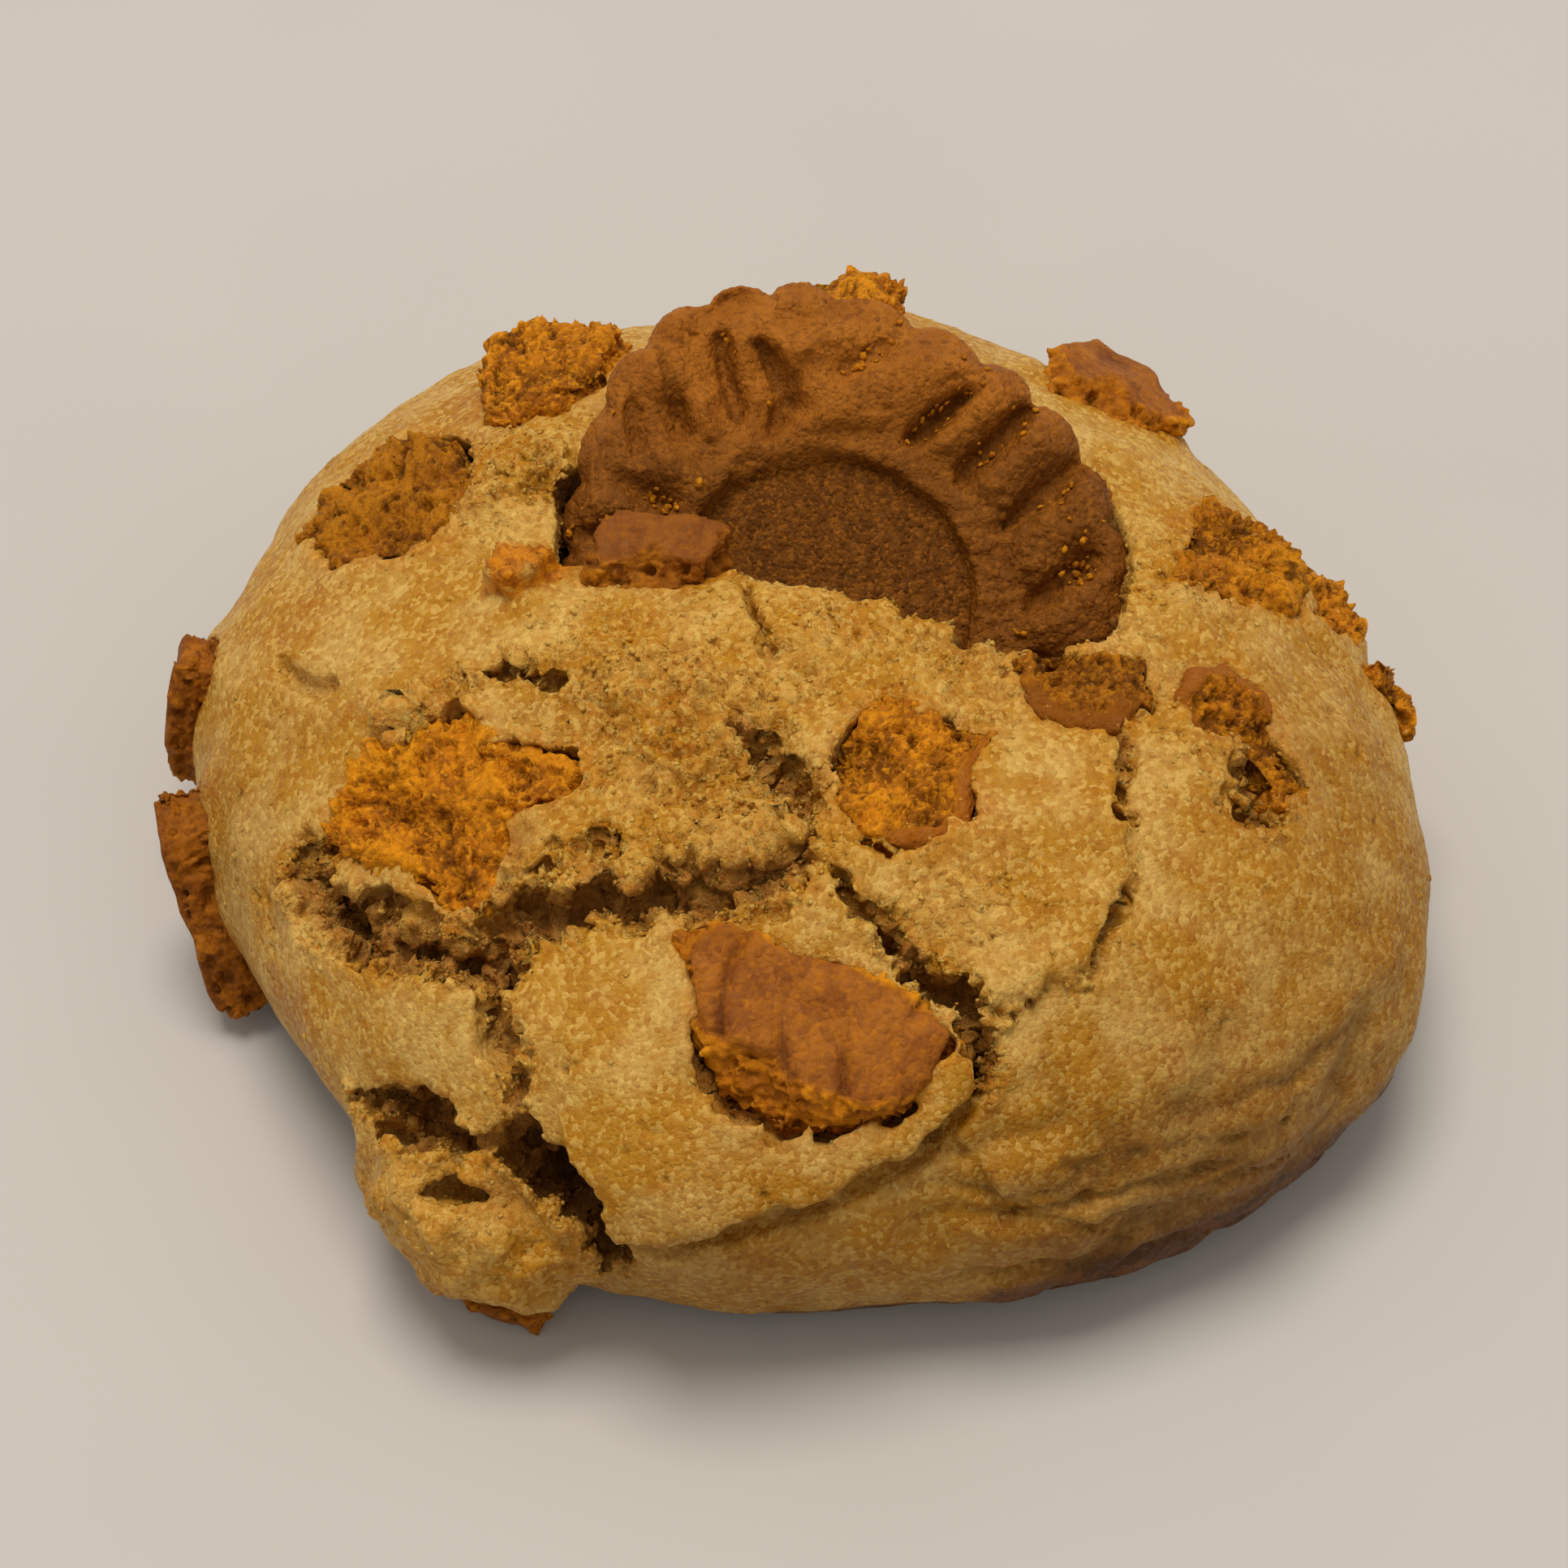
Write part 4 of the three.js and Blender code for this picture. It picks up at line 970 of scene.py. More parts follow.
def room_object(clearance, lift):
    """The room of the round biscuit in the dough. lift carries its face straight up, to open it."""
    half = BISCUIT_THICKNESS / 2 + clearance
    full = BISCUIT_RADIUS - 0.5 + clearance
    profile = [(0, -half), (full - 1.6, -half), (full, -half + 1.2), (full, half - 0.8)]
    profile += [(full - 1.2, half), (0, half)]
    bm = turned(profile, 90)
    points = directions_of(bm)
    radius = np.maximum(np.hypot(points[:, 0], points[:, 1]), 1e-6)
    scale = 1 + np.where(radius > 1, rim_swell(bearing_of(points)) / radius, 0)
    raised = points[:, 2] > 0
    points[:, :2] *= scale[:, None]
    if lift:
        points[:, 2] = -half
    move_points(bm, points)
    bm.transform(BISCUIT_PLACE)
    if lift:
        for vert, up in zip(bm.verts, raised):
            vert.co.z += lift * up
    return put("room", bm)


def ragged_line(places, spacing, size, amount, seed):
    """A line in plan cut into short steps and made ragged."""
    line = [np.array(places[0], float)]
    for start, stop in zip(places[:-1], places[1:]):
        start, stop = np.array(start, float), np.array(stop, float)
        count = max(int(np.linalg.norm(stop - start) / spacing), 1)
        line += [start + (stop - start) * (n + 1) / count for n in range(count)]
    flat = np.array(line)
    deep = np.column_stack([flat, np.zeros(len(flat))])
    return flat + amount * shift_noise(deep, size, seed)[:, :2]


def opening_object():
    """The open space over the round biscuit, as far forward as the lip of the dough."""
    opening = room_object(GAP, 40)
    lip = ragged_line(LIP_EDGE, 0.5, 1.6, 0.7, 361)
    outline = [tuple(place) for place in lip] + [(30, 50), (-30, 50)]
    combine(opening, [block("behind lip", outline, 0, 60, Matrix.Identity(4))], "INTERSECT")
    return opening


# middles of the small spiced crumb and of the torn crumb over the flap
SPICED_CRUMB = top_point(-21, 0.5)
FLAP_CRUMB = np.array([-22, -41.5, 15])

# where the dough is torn open, not skinned over: the place, how far it reaches and how much
TORN = [
    (top_point(-9, -15), 9, 1.0),
    (top_point(-3, -23), 5, 0.9),
    (top_point(11, -28), 5, 0.6),
    (top_point(1, -5), 5, 0.8),
    (top_point(12, -8), 6, 0.8),
    (top_point(22, -10), 5, 0.6),
    (top_point(29, -17), 4, 0.6),
    (top_point(-24, 12), 6, 0.9),
    (top_point(-20.4, 11.8), 4, 0.8),
    (top_point(27, 3), 6, 0.7),
    (top_point(7, -35), 4, 0.4),
    (top_point(-15, -7), 6, 0.5),
    (np.array([-25, -41.5, 13.5]), 5, 0.8),
    (np.array([-19, -44, 12]), 4, 0.6),
]


def torn_share(points):
    """How far the dough is torn open at each place, from 0 on its skin to 1."""
    torn = np.zeros(len(points))
    for at, reach, share in TORN:
        torn += share * near(points, at, reach)
    for _, path, width, depth, *_ in CRACKS:
        if depth < SOFT_FOLD:
            continue
        here = within(points, path, 6)
        distance = nearest_on(path, points[here])[0] + 0.8 * noise(points[here], 1.6, 365)
        torn[here] += 1 - smoothstep(distance, width, width + 1.2)
    torn += smoothstep(depth_in(points) + lump_height(points), 1.2, 2.5)
    return np.clip(torn, 0, 1)


def ledges(points, size, teeth, seed):
    """Torn plates that lie on each other like steps. teeth makes their edges ragged."""
    level = 3.6 * rough(points, size, 3, seed, 0.5) + teeth
    whole = np.floor(level)
    return whole + smoothstep(level - whole, 0, 0.16) - 0.5


def crumbled(obj):
    """Gives the dough its fine crumb: torn plates, small grains and a few pits."""
    points = points_of(obj)
    torn = torn_share(points)
    cell = cells(points + 0.3 * shift_noise(points, 0.8, 377), 0.8, 378)
    lumps = 1 - smoothstep(cell, 0.1, 0.75)
    teeth = 0.6 * lumps + 0.5 * noise(points, 0.6, 379)
    steps = 0.6 * ledges(points, 6, teeth, 371) + 0.35 * ledges(points, 3, teeth, 374)
    flap = near(points, FLAP_CRUMB, 9)
    steps *= 1 - 0.8 * flap
    shreds = (0.3 + 0.3 * flap) * rough(points, 1.7, 4, 395, 0.8)
    height = torn * (steps + (0.14 + 0.1 * flap) * lumps + shreds - 0.25)
    crumb = np.linalg.norm(points - SPICED_CRUMB, axis=1) + 0.8 * noise(points, 1.3, 431)
    height += (1 - smoothstep(crumb, 1.8, 2.5)) * (1.1 + 0.9 * lumps)
    height += (0.1 + 0.1 * torn) * rough(points, 0.9, 3, 381, 0.75)
    height += 0.3 * rough(points, 4.5, 2, 388)
    pit = smoothstep(noise(points, 0.9, 391), 0.6, 0.85)
    pit *= smoothstep(noise(points, 4, 392), 0, 0.5)
    height -= 0.4 * pit
    height *= smoothstep(points[:, 2], 0.15, 2)
    reshape(obj, points + height[:, None] * normals_of(obj))
    # from this height the material paints shade in the dips and highlights on the raised crumb
    note(obj, "high", 0.5 + 0.6 * height)
    note(obj, "torn", torn)


def hidden_in_dough(points):
    """Places of the dough that nothing shows: its base, its pockets and the round biscuit's bed."""
    hidden = points[:, 2] < 0.6
    for piece in PIECES.values():
        beyond, above, _ = beyond_piece(points, piece)
        hidden |= (beyond < -0.2) & (above < piece[2] - 1) & (above > -12)
    return hidden | in_biscuit(points, -0.8, 0.6) | (depth_in(points) > 8)


# places where the dough is baked browner and darkened by painted shade at its sides and front:
# where, how far they reach and how much
BROWNED_AND_SHADED = [
    (side_point(309, 13), 14, 1.0),
    (side_point(288, 11), 11, 0.6),
    (side_point(333, 17), 12, 0.45),
    (top_point(37, -9), 9, 0.3),
    (side_point(264, 13), 9, 0.6),
    (side_point(253, 9), 5, 0.3),
    (side_point(195, 12), 12, 0.35),
]

# toasted patches on the dough: where and how far they reach
TOASTED = [
    (side_point(263, 19), 2.6),
    (top_point(-10, -13), 2.8),
    (top_point(-9.3, -9.4), 2.2),
    (top_point(-2, -26.4), 1.6),
    (top_point(2.5, -5.5), 2.8),
    (side_point(257, 18.6), 2.2),
    (top_point(12, -22), 2.0),
    (top_point(-27, 23.5), 3.2),
    (top_point(-36, -27), 3.0),
    (top_point(-44, -9), 2.2),
    (top_point(-38, 3), 3.4),
    (top_point(30, -20), 2.2),
    (top_point(19, -19.5), 1.8),
    (side_point(247, 10), 3.0),
    (side_point(238, 4), 2.4),
]

# brown torn crumb and painted shade beside the cracks: where and how far it reaches
STAINED_AND_SHADED = [
    (top_point(-6, -24.6), 2.3),
    (top_point(-2.6, -24.4), 1.6),
    (top_point(-20.4, -22.8), 1.7),
    (top_point(-1.8, -19.6), 1.8),
    (top_point(-27.5, -27.5), 2.4),
    (side_point(234, 13.5), 2.6),
    (side_point(243, 14), 2.4),
]


def stained(points):
    """How brown the torn crumb in and beside the deep cracks is, with painted shade in the cracks
    and around the dark hollows at the front piece.
    """
    brown = np.zeros(len(points))
    for at, reach in STAINED_AND_SHADED + [(at, 1.8) for name, at, _ in HOLLOWS if "front piece" in name]:
        brown = np.maximum(brown, near(points, at, reach))
    for _, path, width, depth, *_ in CRACKS:
        if depth < SOFT_FOLD:
            continue
        here = within(points, path, 6)
        distance = nearest_on(path, points[here])[0]
        distance += 0.7 * rough(points[here], 1.6, 3, 366, 0.7)
        brown[here] = np.maximum(brown[here], 1 - smoothstep(distance, 0.5 * width, 0.95 * width))
    return brown


def tint_dough(obj):
    """Notes where the dough is toasted, sunk in a crack with brown torn crumb and painted shade,
    baked browner with painted shade at its sides, baked brown at its foot and darker towards the
    bottom with painted shade in its creases, or spiced.
    """
    points = points_of(obj)
    depth = depth_in(points) + lump_height(points)
    # places below the smooth dome take the crack colours: brown torn crumb with painted shade in
    # the cracks and hollows
    sunk = smoothstep(depth + 0.5 * rough(points, 2, 2, 401), 0.6, 2.8)
    note(obj, "sunk", np.maximum(sunk, 0.85 * stained(points)))
    # painted shadow at the bottom of deep cracks and hollows
    note(obj, "deep", smoothstep(depth, 3, 6.5))
    # baked browner, with painted shade at the sides and the front
    brown = np.zeros(len(points))
    for at, reach, share in BROWNED_AND_SHADED:
        brown += share * near(points, at, reach)
    note(obj, "browned_and_shaded", brown * (0.9 + 0.4 * rough(points, 7, 2, 451)))
    toast = np.zeros(len(points))
    uneven = 0.75 + 0.5 * noise(points, 1.4, 405)
    for at, reach in TOASTED:
        toast = np.maximum(toast, near(points, at, reach) * uneven)
    speckle = smoothstep(noise(points, 1.3, 411), 0.38, 0.75)
    speckle *= smoothstep(noise(points, 7, 412), -0.3, 0.3)
    proud = 1 - smoothstep(depth, 1, 2.2)
    note(obj, "toast", np.maximum(toast, 0.7 * speckle) * proud)
    # the foot's own brown band, a share that is darker towards the bottom, and painted shade in the
    # creases of the wrinkles
    bearing = bearing_of(points) % 360
    front = smoothstep(bearing, 278, 292) * (1 - smoothstep(bearing, 322, 345))
    rim = 3 + 8 * front + 1.1 * noise(points, 4, 421) + 0.7 * noise(points, 1.3, 422)
    edge = 1 - smoothstep(points[:, 2], rim * 0.7, rim + 1.5)
    lower = (0.26 + 0.24 * front) * (1 - smoothstep(points[:, 2], 3, 16))
    crease = 0.45 * wrinkles(points)[1]
    note(obj, "baked", np.maximum(np.maximum(edge, lower), crease))
    crumb = np.linalg.norm((points - SPICED_CRUMB) * (0.85, 1.1, 0.5), axis=1)
    spice = 1 - smoothstep(crumb + 0.8 * noise(points, 1.3, 431), 2.4, 2.8)
    for piece in PIECES.values():
        beyond, above, _ = beyond_piece(points, piece)
        beside = 1 - smoothstep(beyond + 1.2 * noise(points, 1.8, 441), -0.2, 1.2)
        spice = np.maximum(spice, 0.3 * beside * (np.abs(above) < 5))
    note(obj, "spice", spice)


class Recipe:
    """A material that is put together node by node. Sizes are in millimetres."""

    def __init__(self, name):
        self.material = bpy.data.materials.new(name)
        self.material.use_nodes = True
        self.tree = self.material.node_tree
        self.tree.nodes.clear()
        output = self.tree.nodes.new("ShaderNodeOutputMaterial")
        self.shader = self.tree.nodes.new("ShaderNodeBsdfPrincipled")
        self.tree.links.new(self.shader.outputs["BSDF"], output.inputs["Surface"])
        place = self.tree.nodes.new("ShaderNodeTexCoord")
        scale = self.tree.nodes.new("ShaderNodeMapping")
        scale.inputs["Scale"].default_value = (1 / MM, 1 / MM, 1 / MM)
        self.tree.links.new(place.outputs["Object"], scale.inputs["Vector"])
        self.place = scale.outputs["Vector"]

    def feed(self, socket, value):
        """Links an output to a socket, or sets the socket to a value."""
        if isinstance(value, bpy.types.NodeSocket):
            self.tree.links.new(value, socket)
        elif hasattr(socket.default_value, "__len__") and len(socket.default_value) == 4:
            socket.default_value = (*value, 1)
        else:
            socket.default_value = value

    def noise(self, size, detail=3, roughness=0.55, output="Fac"):
        node = self.tree.nodes.new("ShaderNodeTexNoise")
        node.inputs["Scale"].default_value = 1 / size
        node.inputs["Detail"].default_value = detail
        node.inputs["Roughness"].default_value = roughness
        self.tree.links.new(self.place, node.inputs["Vector"])
        return node.outputs[output]

    def grains(self, size):
        """Height of uneven grains that lie close together, and a tone of its own for each."""
        sway = self.noise(size / 1.3, 1, 0.5, "Color")
        moved = self.tree.nodes.new("ShaderNodeVectorMath")
        moved.operation = "MULTIPLY_ADD"
        self.tree.links.new(sway, moved.inputs[0])
        moved.inputs[1].default_value = (0.5 * size,) * 3
        self.tree.links.new(self.place, moved.inputs[2])
        node = self.tree.nodes.new("ShaderNodeTexVoronoi")
        node.inputs["Scale"].default_value = 1 / size
        self.tree.links.new(moved.outputs["Vector"], node.inputs["Vector"])
        height = self.span(node.outputs["Distance"], 0.05, 0.75, 1, 0)
        return height, self.math("MULTIPLY", node.outputs["Color"], 1)

    def attribute(self, name):
        node = self.tree.nodes.new("ShaderNodeAttribute")
        node.attribute_name = name
        return node.outputs["Fac"]

    def span(self, value, low, high, start=0, stop=1):
        """Maps low to high onto start to stop, smoothly and clamped."""
        node = self.tree.nodes.new("ShaderNodeMapRange")
        node.interpolation_type = "SMOOTHSTEP"
        names = ("From Min", "From Max", "To Min", "To Max")
        for name, number in zip(names, (low, high, start, stop)):
            node.inputs[name].default_value = number
        self.feed(node.inputs["Value"], value)
        return node.outputs["Result"]

    def math(self, operation, first, second):
        node = self.tree.nodes.new("ShaderNodeMath")
        node.operation = operation
        self.feed(node.inputs[0], first)
        self.feed(node.inputs[1], second)
        return node.outputs["Value"]

    def mix(self, share, first, second, blend="MIX"):
        node = self.tree.nodes.new("ShaderNodeMix")
        node.data_type = "RGBA"
        node.blend_type = blend
        self.feed(node.inputs["Factor"], share)
        self.feed(node.inputs[6], first)
        self.feed(node.inputs[7], second)
        return node.outputs[2]

    def bump(self, height, distance, strength=1, below=None):
        node = self.tree.nodes.new("ShaderNodeBump")
        node.inputs["Strength"].default_value = strength
        node.inputs["Distance"].default_value = distance * MM
        self.feed(node.inputs["Height"], height)
        if below is not None:
            self.tree.links.new(below, node.inputs["Normal"])
        return node.outputs["Normal"]

    def done(self, colour, roughness, normal, soften=0.0, specular=0.4, glint=(1, 0.8, 0.45)):
        """Wires up the shader. soften is how far light spreads under the surface."""
        self.feed(self.shader.inputs["Base Color"], colour)
        self.feed(self.shader.inputs["Roughness"], roughness)
        self.tree.links.new(normal, self.shader.inputs["Normal"])
        self.shader.inputs["Specular IOR Level"].default_value = specular
        self.shader.inputs["Specular Tint"].default_value = (*glint, 1)
        if soften:
            self.shader.inputs["Subsurface Weight"].default_value = soften
            self.shader.inputs["Subsurface Radius"].default_value = (1, 0.7, 0.4)
            self.shader.inputs["Subsurface Scale"].default_value = MM
        return self.material


def dough_material(look):
    """Pale golden crumb with toasted specks, brown cracks and a brown baked foot, with painted
    shade in its dips, cracks, creases and at its sides, and painted highlights on its raised crumb.
    """
    r = Recipe("baked dough")
    grains, tones = r.grains(0.38)
    tone = r.mix(r.span(r.noise(6, 4), 0.36, 0.6), look.pale, look.golden)
    # painted shade in the dips of the crumb and painted highlights on its raised places, from its
    # height
    tone = r.mix(r.span(r.attribute("high"), 0.5, 0.15, 0, 0.5), tone, look.shade)
    tone = r.mix(r.span(r.attribute("high"), 0.5, 0.9, 0, 0.35), tone, look.light)
    tone = r.mix(r.span(r.noise(1.6, 3, 0.6), 0.5, 0.64, 0, 0.4), tone, look.golden)
    tone = r.mix(r.math("MULTIPLY", r.attribute("torn"), 0.4), tone, look.flaked)
    tone = r.mix(r.math("MULTIPLY", r.attribute("toast"), 0.8), tone, look.toasted)
    tone = r.mix(r.span(tones, 0.5, 0.85, 0, 0.4), tone, look.light)
    # brown torn crumb with painted shade in the cracks and hollows
    crack = r.mix(r.span(r.noise(1.3, 4), 0.4, 0.62), look.crack_deep, look.crack)
    tone = r.mix(r.attribute("sunk"), tone, crack)
    # painted shadow at the bottom of deep cracks and hollows
    tone = r.mix(r.attribute("deep"), tone, look.crack_bottom_shade)
    spiced = r.mix(r.span(r.noise(1, 3), 0.4, 0.6), look.spiced_dark, look.spiced)
    tone = r.mix(r.attribute("spice"), tone, spiced)
    # baked browner, with painted shade at the sides and the front
    tone = r.mix(r.attribute("browned_and_shaded"), tone, look.browned_and_shaded, "MULTIPLY")
    # the brown foot, darker towards the bottom, with painted shade in the creases of the wrinkles
    crust = r.mix(r.span(r.noise(2.2, 4), 0.4, 0.62), look.foot, look.foot_light)
    tone = r.mix(r.attribute("baked"), tone, crust)
    tone = r.mix(r.span(tones, 0.45, 0.15, 0, 0.6), tone, look.between, "MULTIPLY")
    # painted shade, kept amber, in the dips of the torn crumb
    shreds = r.noise(0.9, 4, 0.75)
    torn = r.math("MULTIPLY", r.attribute("torn"), r.span(shreds, 0.54, 0.34, 0, 0.9))
    tone = r.mix(torn, tone, look.torn, "MULTIPLY")
    coarse = r.bump(grains, 0.06, 1)
    ragged = r.bump(r.math("MULTIPLY", r.attribute("torn"), shreds), 0.4, 1, coarse)
    normal = r.bump(r.noise(0.5, 3, 0.75), 0.2, 1, ragged)
    gloss = r.span(r.noise(0.4, 2), 0.35, 0.65, 0.32, 0.7)
    return r.done(tone, gloss, normal, soften=0.35, specular=0.35)


def crumb_material(look):
    """Open orange-brown crumb of broken spiced biscuit, with painted highlights on its raised crumb
    and painted shade in its dips, pores and creases.
    """
    r = Recipe("broken biscuit crumb")
    grains, tones = r.grains(0.38)
    tone = r.mix(r.span(r.noise(2.6, 3), 0.38, 0.62), look.crumb_deep, look.crumb)
    # painted highlights on raised crumb and painted shade in its dips, from its height
    tone = r.mix(r.span(r.attribute("high"), 0.45, 0.85, 0, 0.55), tone, look.crumb_bright)
    tone = r.mix(r.span(r.attribute("high"), 0.4, 0.05, 0, 0.6), tone, look.crumb_pit)
    tone = r.mix(r.span(r.noise(0.7, 4), 0.5, 0.66, 0, 0.4), tone, look.crumb_bright)
    # painted shade in the pores and in the creases between lumps
    tone = r.mix(r.attribute("pit"), tone, look.crumb_pit)
    tone = r.mix(r.span(tones, 0.5, 0.9, 0, 0.5), tone, look.crumb_bright)
    tone = r.mix(r.span(tones, 0.4, 0.1, 0, 0.45), tone, look.crumb_pit)
    rim = r.mix(r.span(r.noise(1.8, 4), 0.4, 0.62), look.crumb_deep, look.crust_light)
    tone = r.mix(r.attribute("rim"), tone, rim)
    tone = r.mix(r.span(r.noise(0.5, 3), 0.66, 0.74, 0, 0.6), tone, look.crumb_sugar)
    tone = r.mix(r.attribute("dark"), tone, look.crumb_pit)
    coarse = r.bump(grains, 0.09, 1)
    normal = r.bump(r.noise(0.3, 4, 0.7), 0.09, 0.9, coarse)
    gloss = r.span(r.noise(0.5, 2), 0.3, 0.7, 0.5, 0.85)
    return r.done(tone, gloss, normal, soften=0.2, specular=0.2)


def crust_material(look):
    """Smooth reddish-brown baked face with orange crumb where it is broken, painted shade in the
    lines of the face and in the dips and pores of the crumb, and painted highlights on raised
    crumb.
    """
    r = Recipe("broken biscuit with its baked face")
    grains, tones = r.grains(0.5)
    face = r.mix(r.span(r.noise(2.4, 4), 0.38, 0.62), look.crust, look.crust_light)
    face = r.mix(r.span(r.noise(0.55, 3), 0.56, 0.7, 0, 0.5), face, look.crumb)
    # painted shade in the lines and low places of the baked face
    face = r.mix(r.span(r.attribute("high"), 0.5, 0.1, 0, 0.8), face, look.crust_dark)
    side = r.mix(r.span(r.noise(1.4, 4), 0.4, 0.62), look.crumb_deep, look.crumb)
    # painted highlights on raised crumb and painted shade in its pores
    side = r.mix(r.span(r.attribute("high"), 0.45, 0.85, 0, 0.85), side, look.crumb_bright)
    side = r.mix(r.attribute("pit"), side, look.crumb_pit)
    tone = r.mix(r.attribute("face"), side, face)
    tone = r.mix(r.span(tones, 0.5, 0.9, 0, 0.3), tone, look.crumb)
    tone = r.mix(r.span(tones, 0.4, 0.1, 0, 0.3), tone, look.crust_dark)
    tone = r.mix(r.attribute("dark"), tone, look.crust_dark)
    coarse = r.bump(grains, 0.09, 0.9)
    normal = r.bump(r.noise(0.34, 4, 0.65), 0.1, 0.9, coarse)
    gloss = r.span(r.noise(0.6, 2), 0.3, 0.7, 0.45, 0.75)
    return r.done(tone, gloss, normal, soften=0.15, specular=0.2)


def biscuit_material(look):
    """Baked brown biscuit, lighter on its ridges and mottled in its sunken middle, with painted
    shade in its grooves and, with darker baking, towards its low ends.
    """
    r = Recipe("round spiced biscuit")
    ridge = r.mix(r.span(r.noise(3, 4), 0.38, 0.62), look.ridge, look.ridge_light)
    ridge = r.mix(r.span(r.noise(0.8, 4), 0.52, 0.7, 0, 0.5), ridge, look.ridge_deep)
    middle = r.mix(r.span(r.noise(1.2, 4), 0.42, 0.62, 0, 0.6), look.recess, look.recess_light)
    middle = r.mix(r.span(r.noise(0.3, 2), 0.56, 0.68, 0, 0.6), middle, look.ridge_light)
    tone = r.mix(r.attribute("recess"), ridge, middle)
    # painted shade in the grooves and, with darker baking, towards the low ends
    tone = r.mix(r.math("MULTIPLY", r.attribute("groove"), 0.75), tone, look.groove)
    tone = r.mix(r.span(r.noise(0.4, 3), 0.6, 0.72, 0, 0.35), tone, look.ridge_light)
    grains, tones = r.grains(0.4)
    tone = r.mix(r.span(tones, 0.5, 0.9, 0, 0.4), tone, look.ridge_light)
    tone = r.mix(r.span(tones, 0.4, 0.1, 0, 0.5), tone, look.ridge_deep)
    coarse = r.bump(grains, 0.1, 1)
    normal = r.bump(r.noise(0.5, 4, 0.75), 0.2, 1, coarse)
    gloss = r.span(r.noise(0.6, 2), 0.3, 0.7, 0.42, 0.7)
    return r.done(tone, gloss, normal, soften=0.15, specular=0.2)


def colour_property(name, description, default):
    """A colour that a user can change."""
    return bpy.props.FloatVectorProperty(
        name=name, description=description, default=default, size=3, min=0, max=1, subtype="COLOR"
    )


def size_property(name, description, default, most):
    """A size in metres that a user can change."""
    return bpy.props.FloatProperty(
        name=name, description=description, default=default, min=0, max=most, unit="LENGTH"
    )


class DoughLook(bpy.types.PropertyGroup):
    """Sizes and colours of the dough."""

    voxel: size_property("Face size", "Width of the dough's little faces", 0.00034, 0.002)
    pale: colour_property("Pale", "Palest dough", linear(195, 152, 76))
    golden: colour_property("Golden", "Golden dough", linear(176, 120, 18))
    light: colour_property("Light grains", "Grains that catch the light", linear(228, 192, 106))
    shade: colour_property("Shaded grains", "Darker grains", linear(142, 88, 2))
    toasted: colour_property("Toasted", "Toasted orange patches", linear(166, 100, 4))
    # crack colours: brown torn crumb that also carries painted shade in the cracks
    crack: colour_property("Crack", "Torn crumb inside cracks", linear(178, 122, 52))
    crack_deep: colour_property("Crack deep", "Darkest torn crumb", linear(146, 96, 34))
    # painted shadow at the bottom of the cracks
    crack_bottom_shade: colour_property("Crack dark", "Bottom of the cracks", linear(76, 44, 14))
    spiced: colour_property("Spiced", "Dough stained by spiced crumbs", linear(204, 126, 10))
    spiced_dark: colour_property("Spiced dark", "Darkest spiced crumb", linear(160, 88, 0))
    between: colour_property("Between grains", "Share kept between grains", (0.78, 0.61, 0.38))
    flaked: colour_property("Flaked", "Torn golden crumb", linear(206, 142, 30))
    # painted shade in the dips of torn crumb
    torn: colour_property("Torn", "Share kept in the dips of torn crumb", (0.86, 0.66, 0.34))
    # share kept where the dough is baked browner and under painted shade at its sides and front
    browned_and_shaded: colour_property("Browned", "Share kept where dough is browned", (0.5, 0.41, 0.3))
    foot: colour_property("Foot", "Browned foot", linear(68, 34, 12))
    foot_light: colour_property("Foot light", "Lighter browned foot", linear(98, 56, 20))


class BiscuitLook(bpy.types.PropertyGroup):
    """Sizes and colours of the round biscuit."""

    voxel: size_property("Face size", "Width of the biscuit's little faces", 0.00026, 0.002)
    ridge: colour_property("Ridge", "Baked face", linear(148, 84, 20))
    ridge_light: colour_property("Ridge light", "Lighter baked face", linear(166, 98, 26))
    ridge_deep: colour_property("Ridge deep", "Darker baked face", linear(104, 54, 10))
    # painted shade in the grooves and towards the low ends
    groove: colour_property("Groove", "Floor of the grooves", linear(80, 40, 6))
    recess: colour_property("Middle", "Sunken middle", linear(86, 42, 0))
    recess_light: colour_property("Middle light", "Specks of the middle", linear(112, 62, 6))


class PieceLook(bpy.types.PropertyGroup):
    """Sizes and colours of the broken pieces."""

    voxel: size_property("Face size", "Width of the pieces' little faces", 0.00026, 0.002)
    crumb: colour_property("Crumb", "Open crumb", linear(186, 110, 12))
    crumb_deep: colour_property("Crumb deep", "Darker crumb", linear(150, 82, 8))
    # crumb_bright and crumb_pit also serve as painted highlight on raised crumb and painted shade
    # in dips and pores
    crumb_bright: colour_property("Crumb bright", "Brightest crumb", linear(226, 146, 16))
    crumb_pit: colour_property("Crumb pit", "Bottom of the pores", linear(72, 32, 0))
    crumb_sugar: colour_property("Crumb sugar", "Pale sugar grains", linear(226, 176, 100))
    crust: colour_property("Crust", "Baked face", linear(134, 72, 22))
    crust_light: colour_property("Crust light", "Lighter baked face", linear(156, 90, 26))
    # crust_dark also serves as painted shade in the lines of the face
    crust_dark: colour_property("Crust dark", "Darkest baked face", linear(92, 42, 12))


class StageLook(bpy.types.PropertyGroup):
    """The plain floor and the light."""

    floor: colour_property("Floor", "Plain pale floor", linear(189, 182, 173))
    key: bpy.props.FloatProperty(
        name="Main light", description="Power of the main soft light in watts", default=16.5, min=0
    )
    fill: bpy.props.FloatProperty(
        name="Fill light", description="Strength of the even light all round", default=0.55, min=0
    )


def look_property(name, description, group):
    """One group of settings."""
    return bpy.props.PointerProperty(name=name, description=description, type=group)


class CookieLooks(bpy.types.PropertyGroup):
    """Everything that a user would change."""

    dough: look_property("Dough", "The dough", DoughLook)
    biscuit: look_property("Biscuit", "The round biscuit", BiscuitLook)
    pieces: look_property("Pieces", "The broken pieces", PieceLook)
    stage: look_property("Stage", "Floor and light", StageLook)


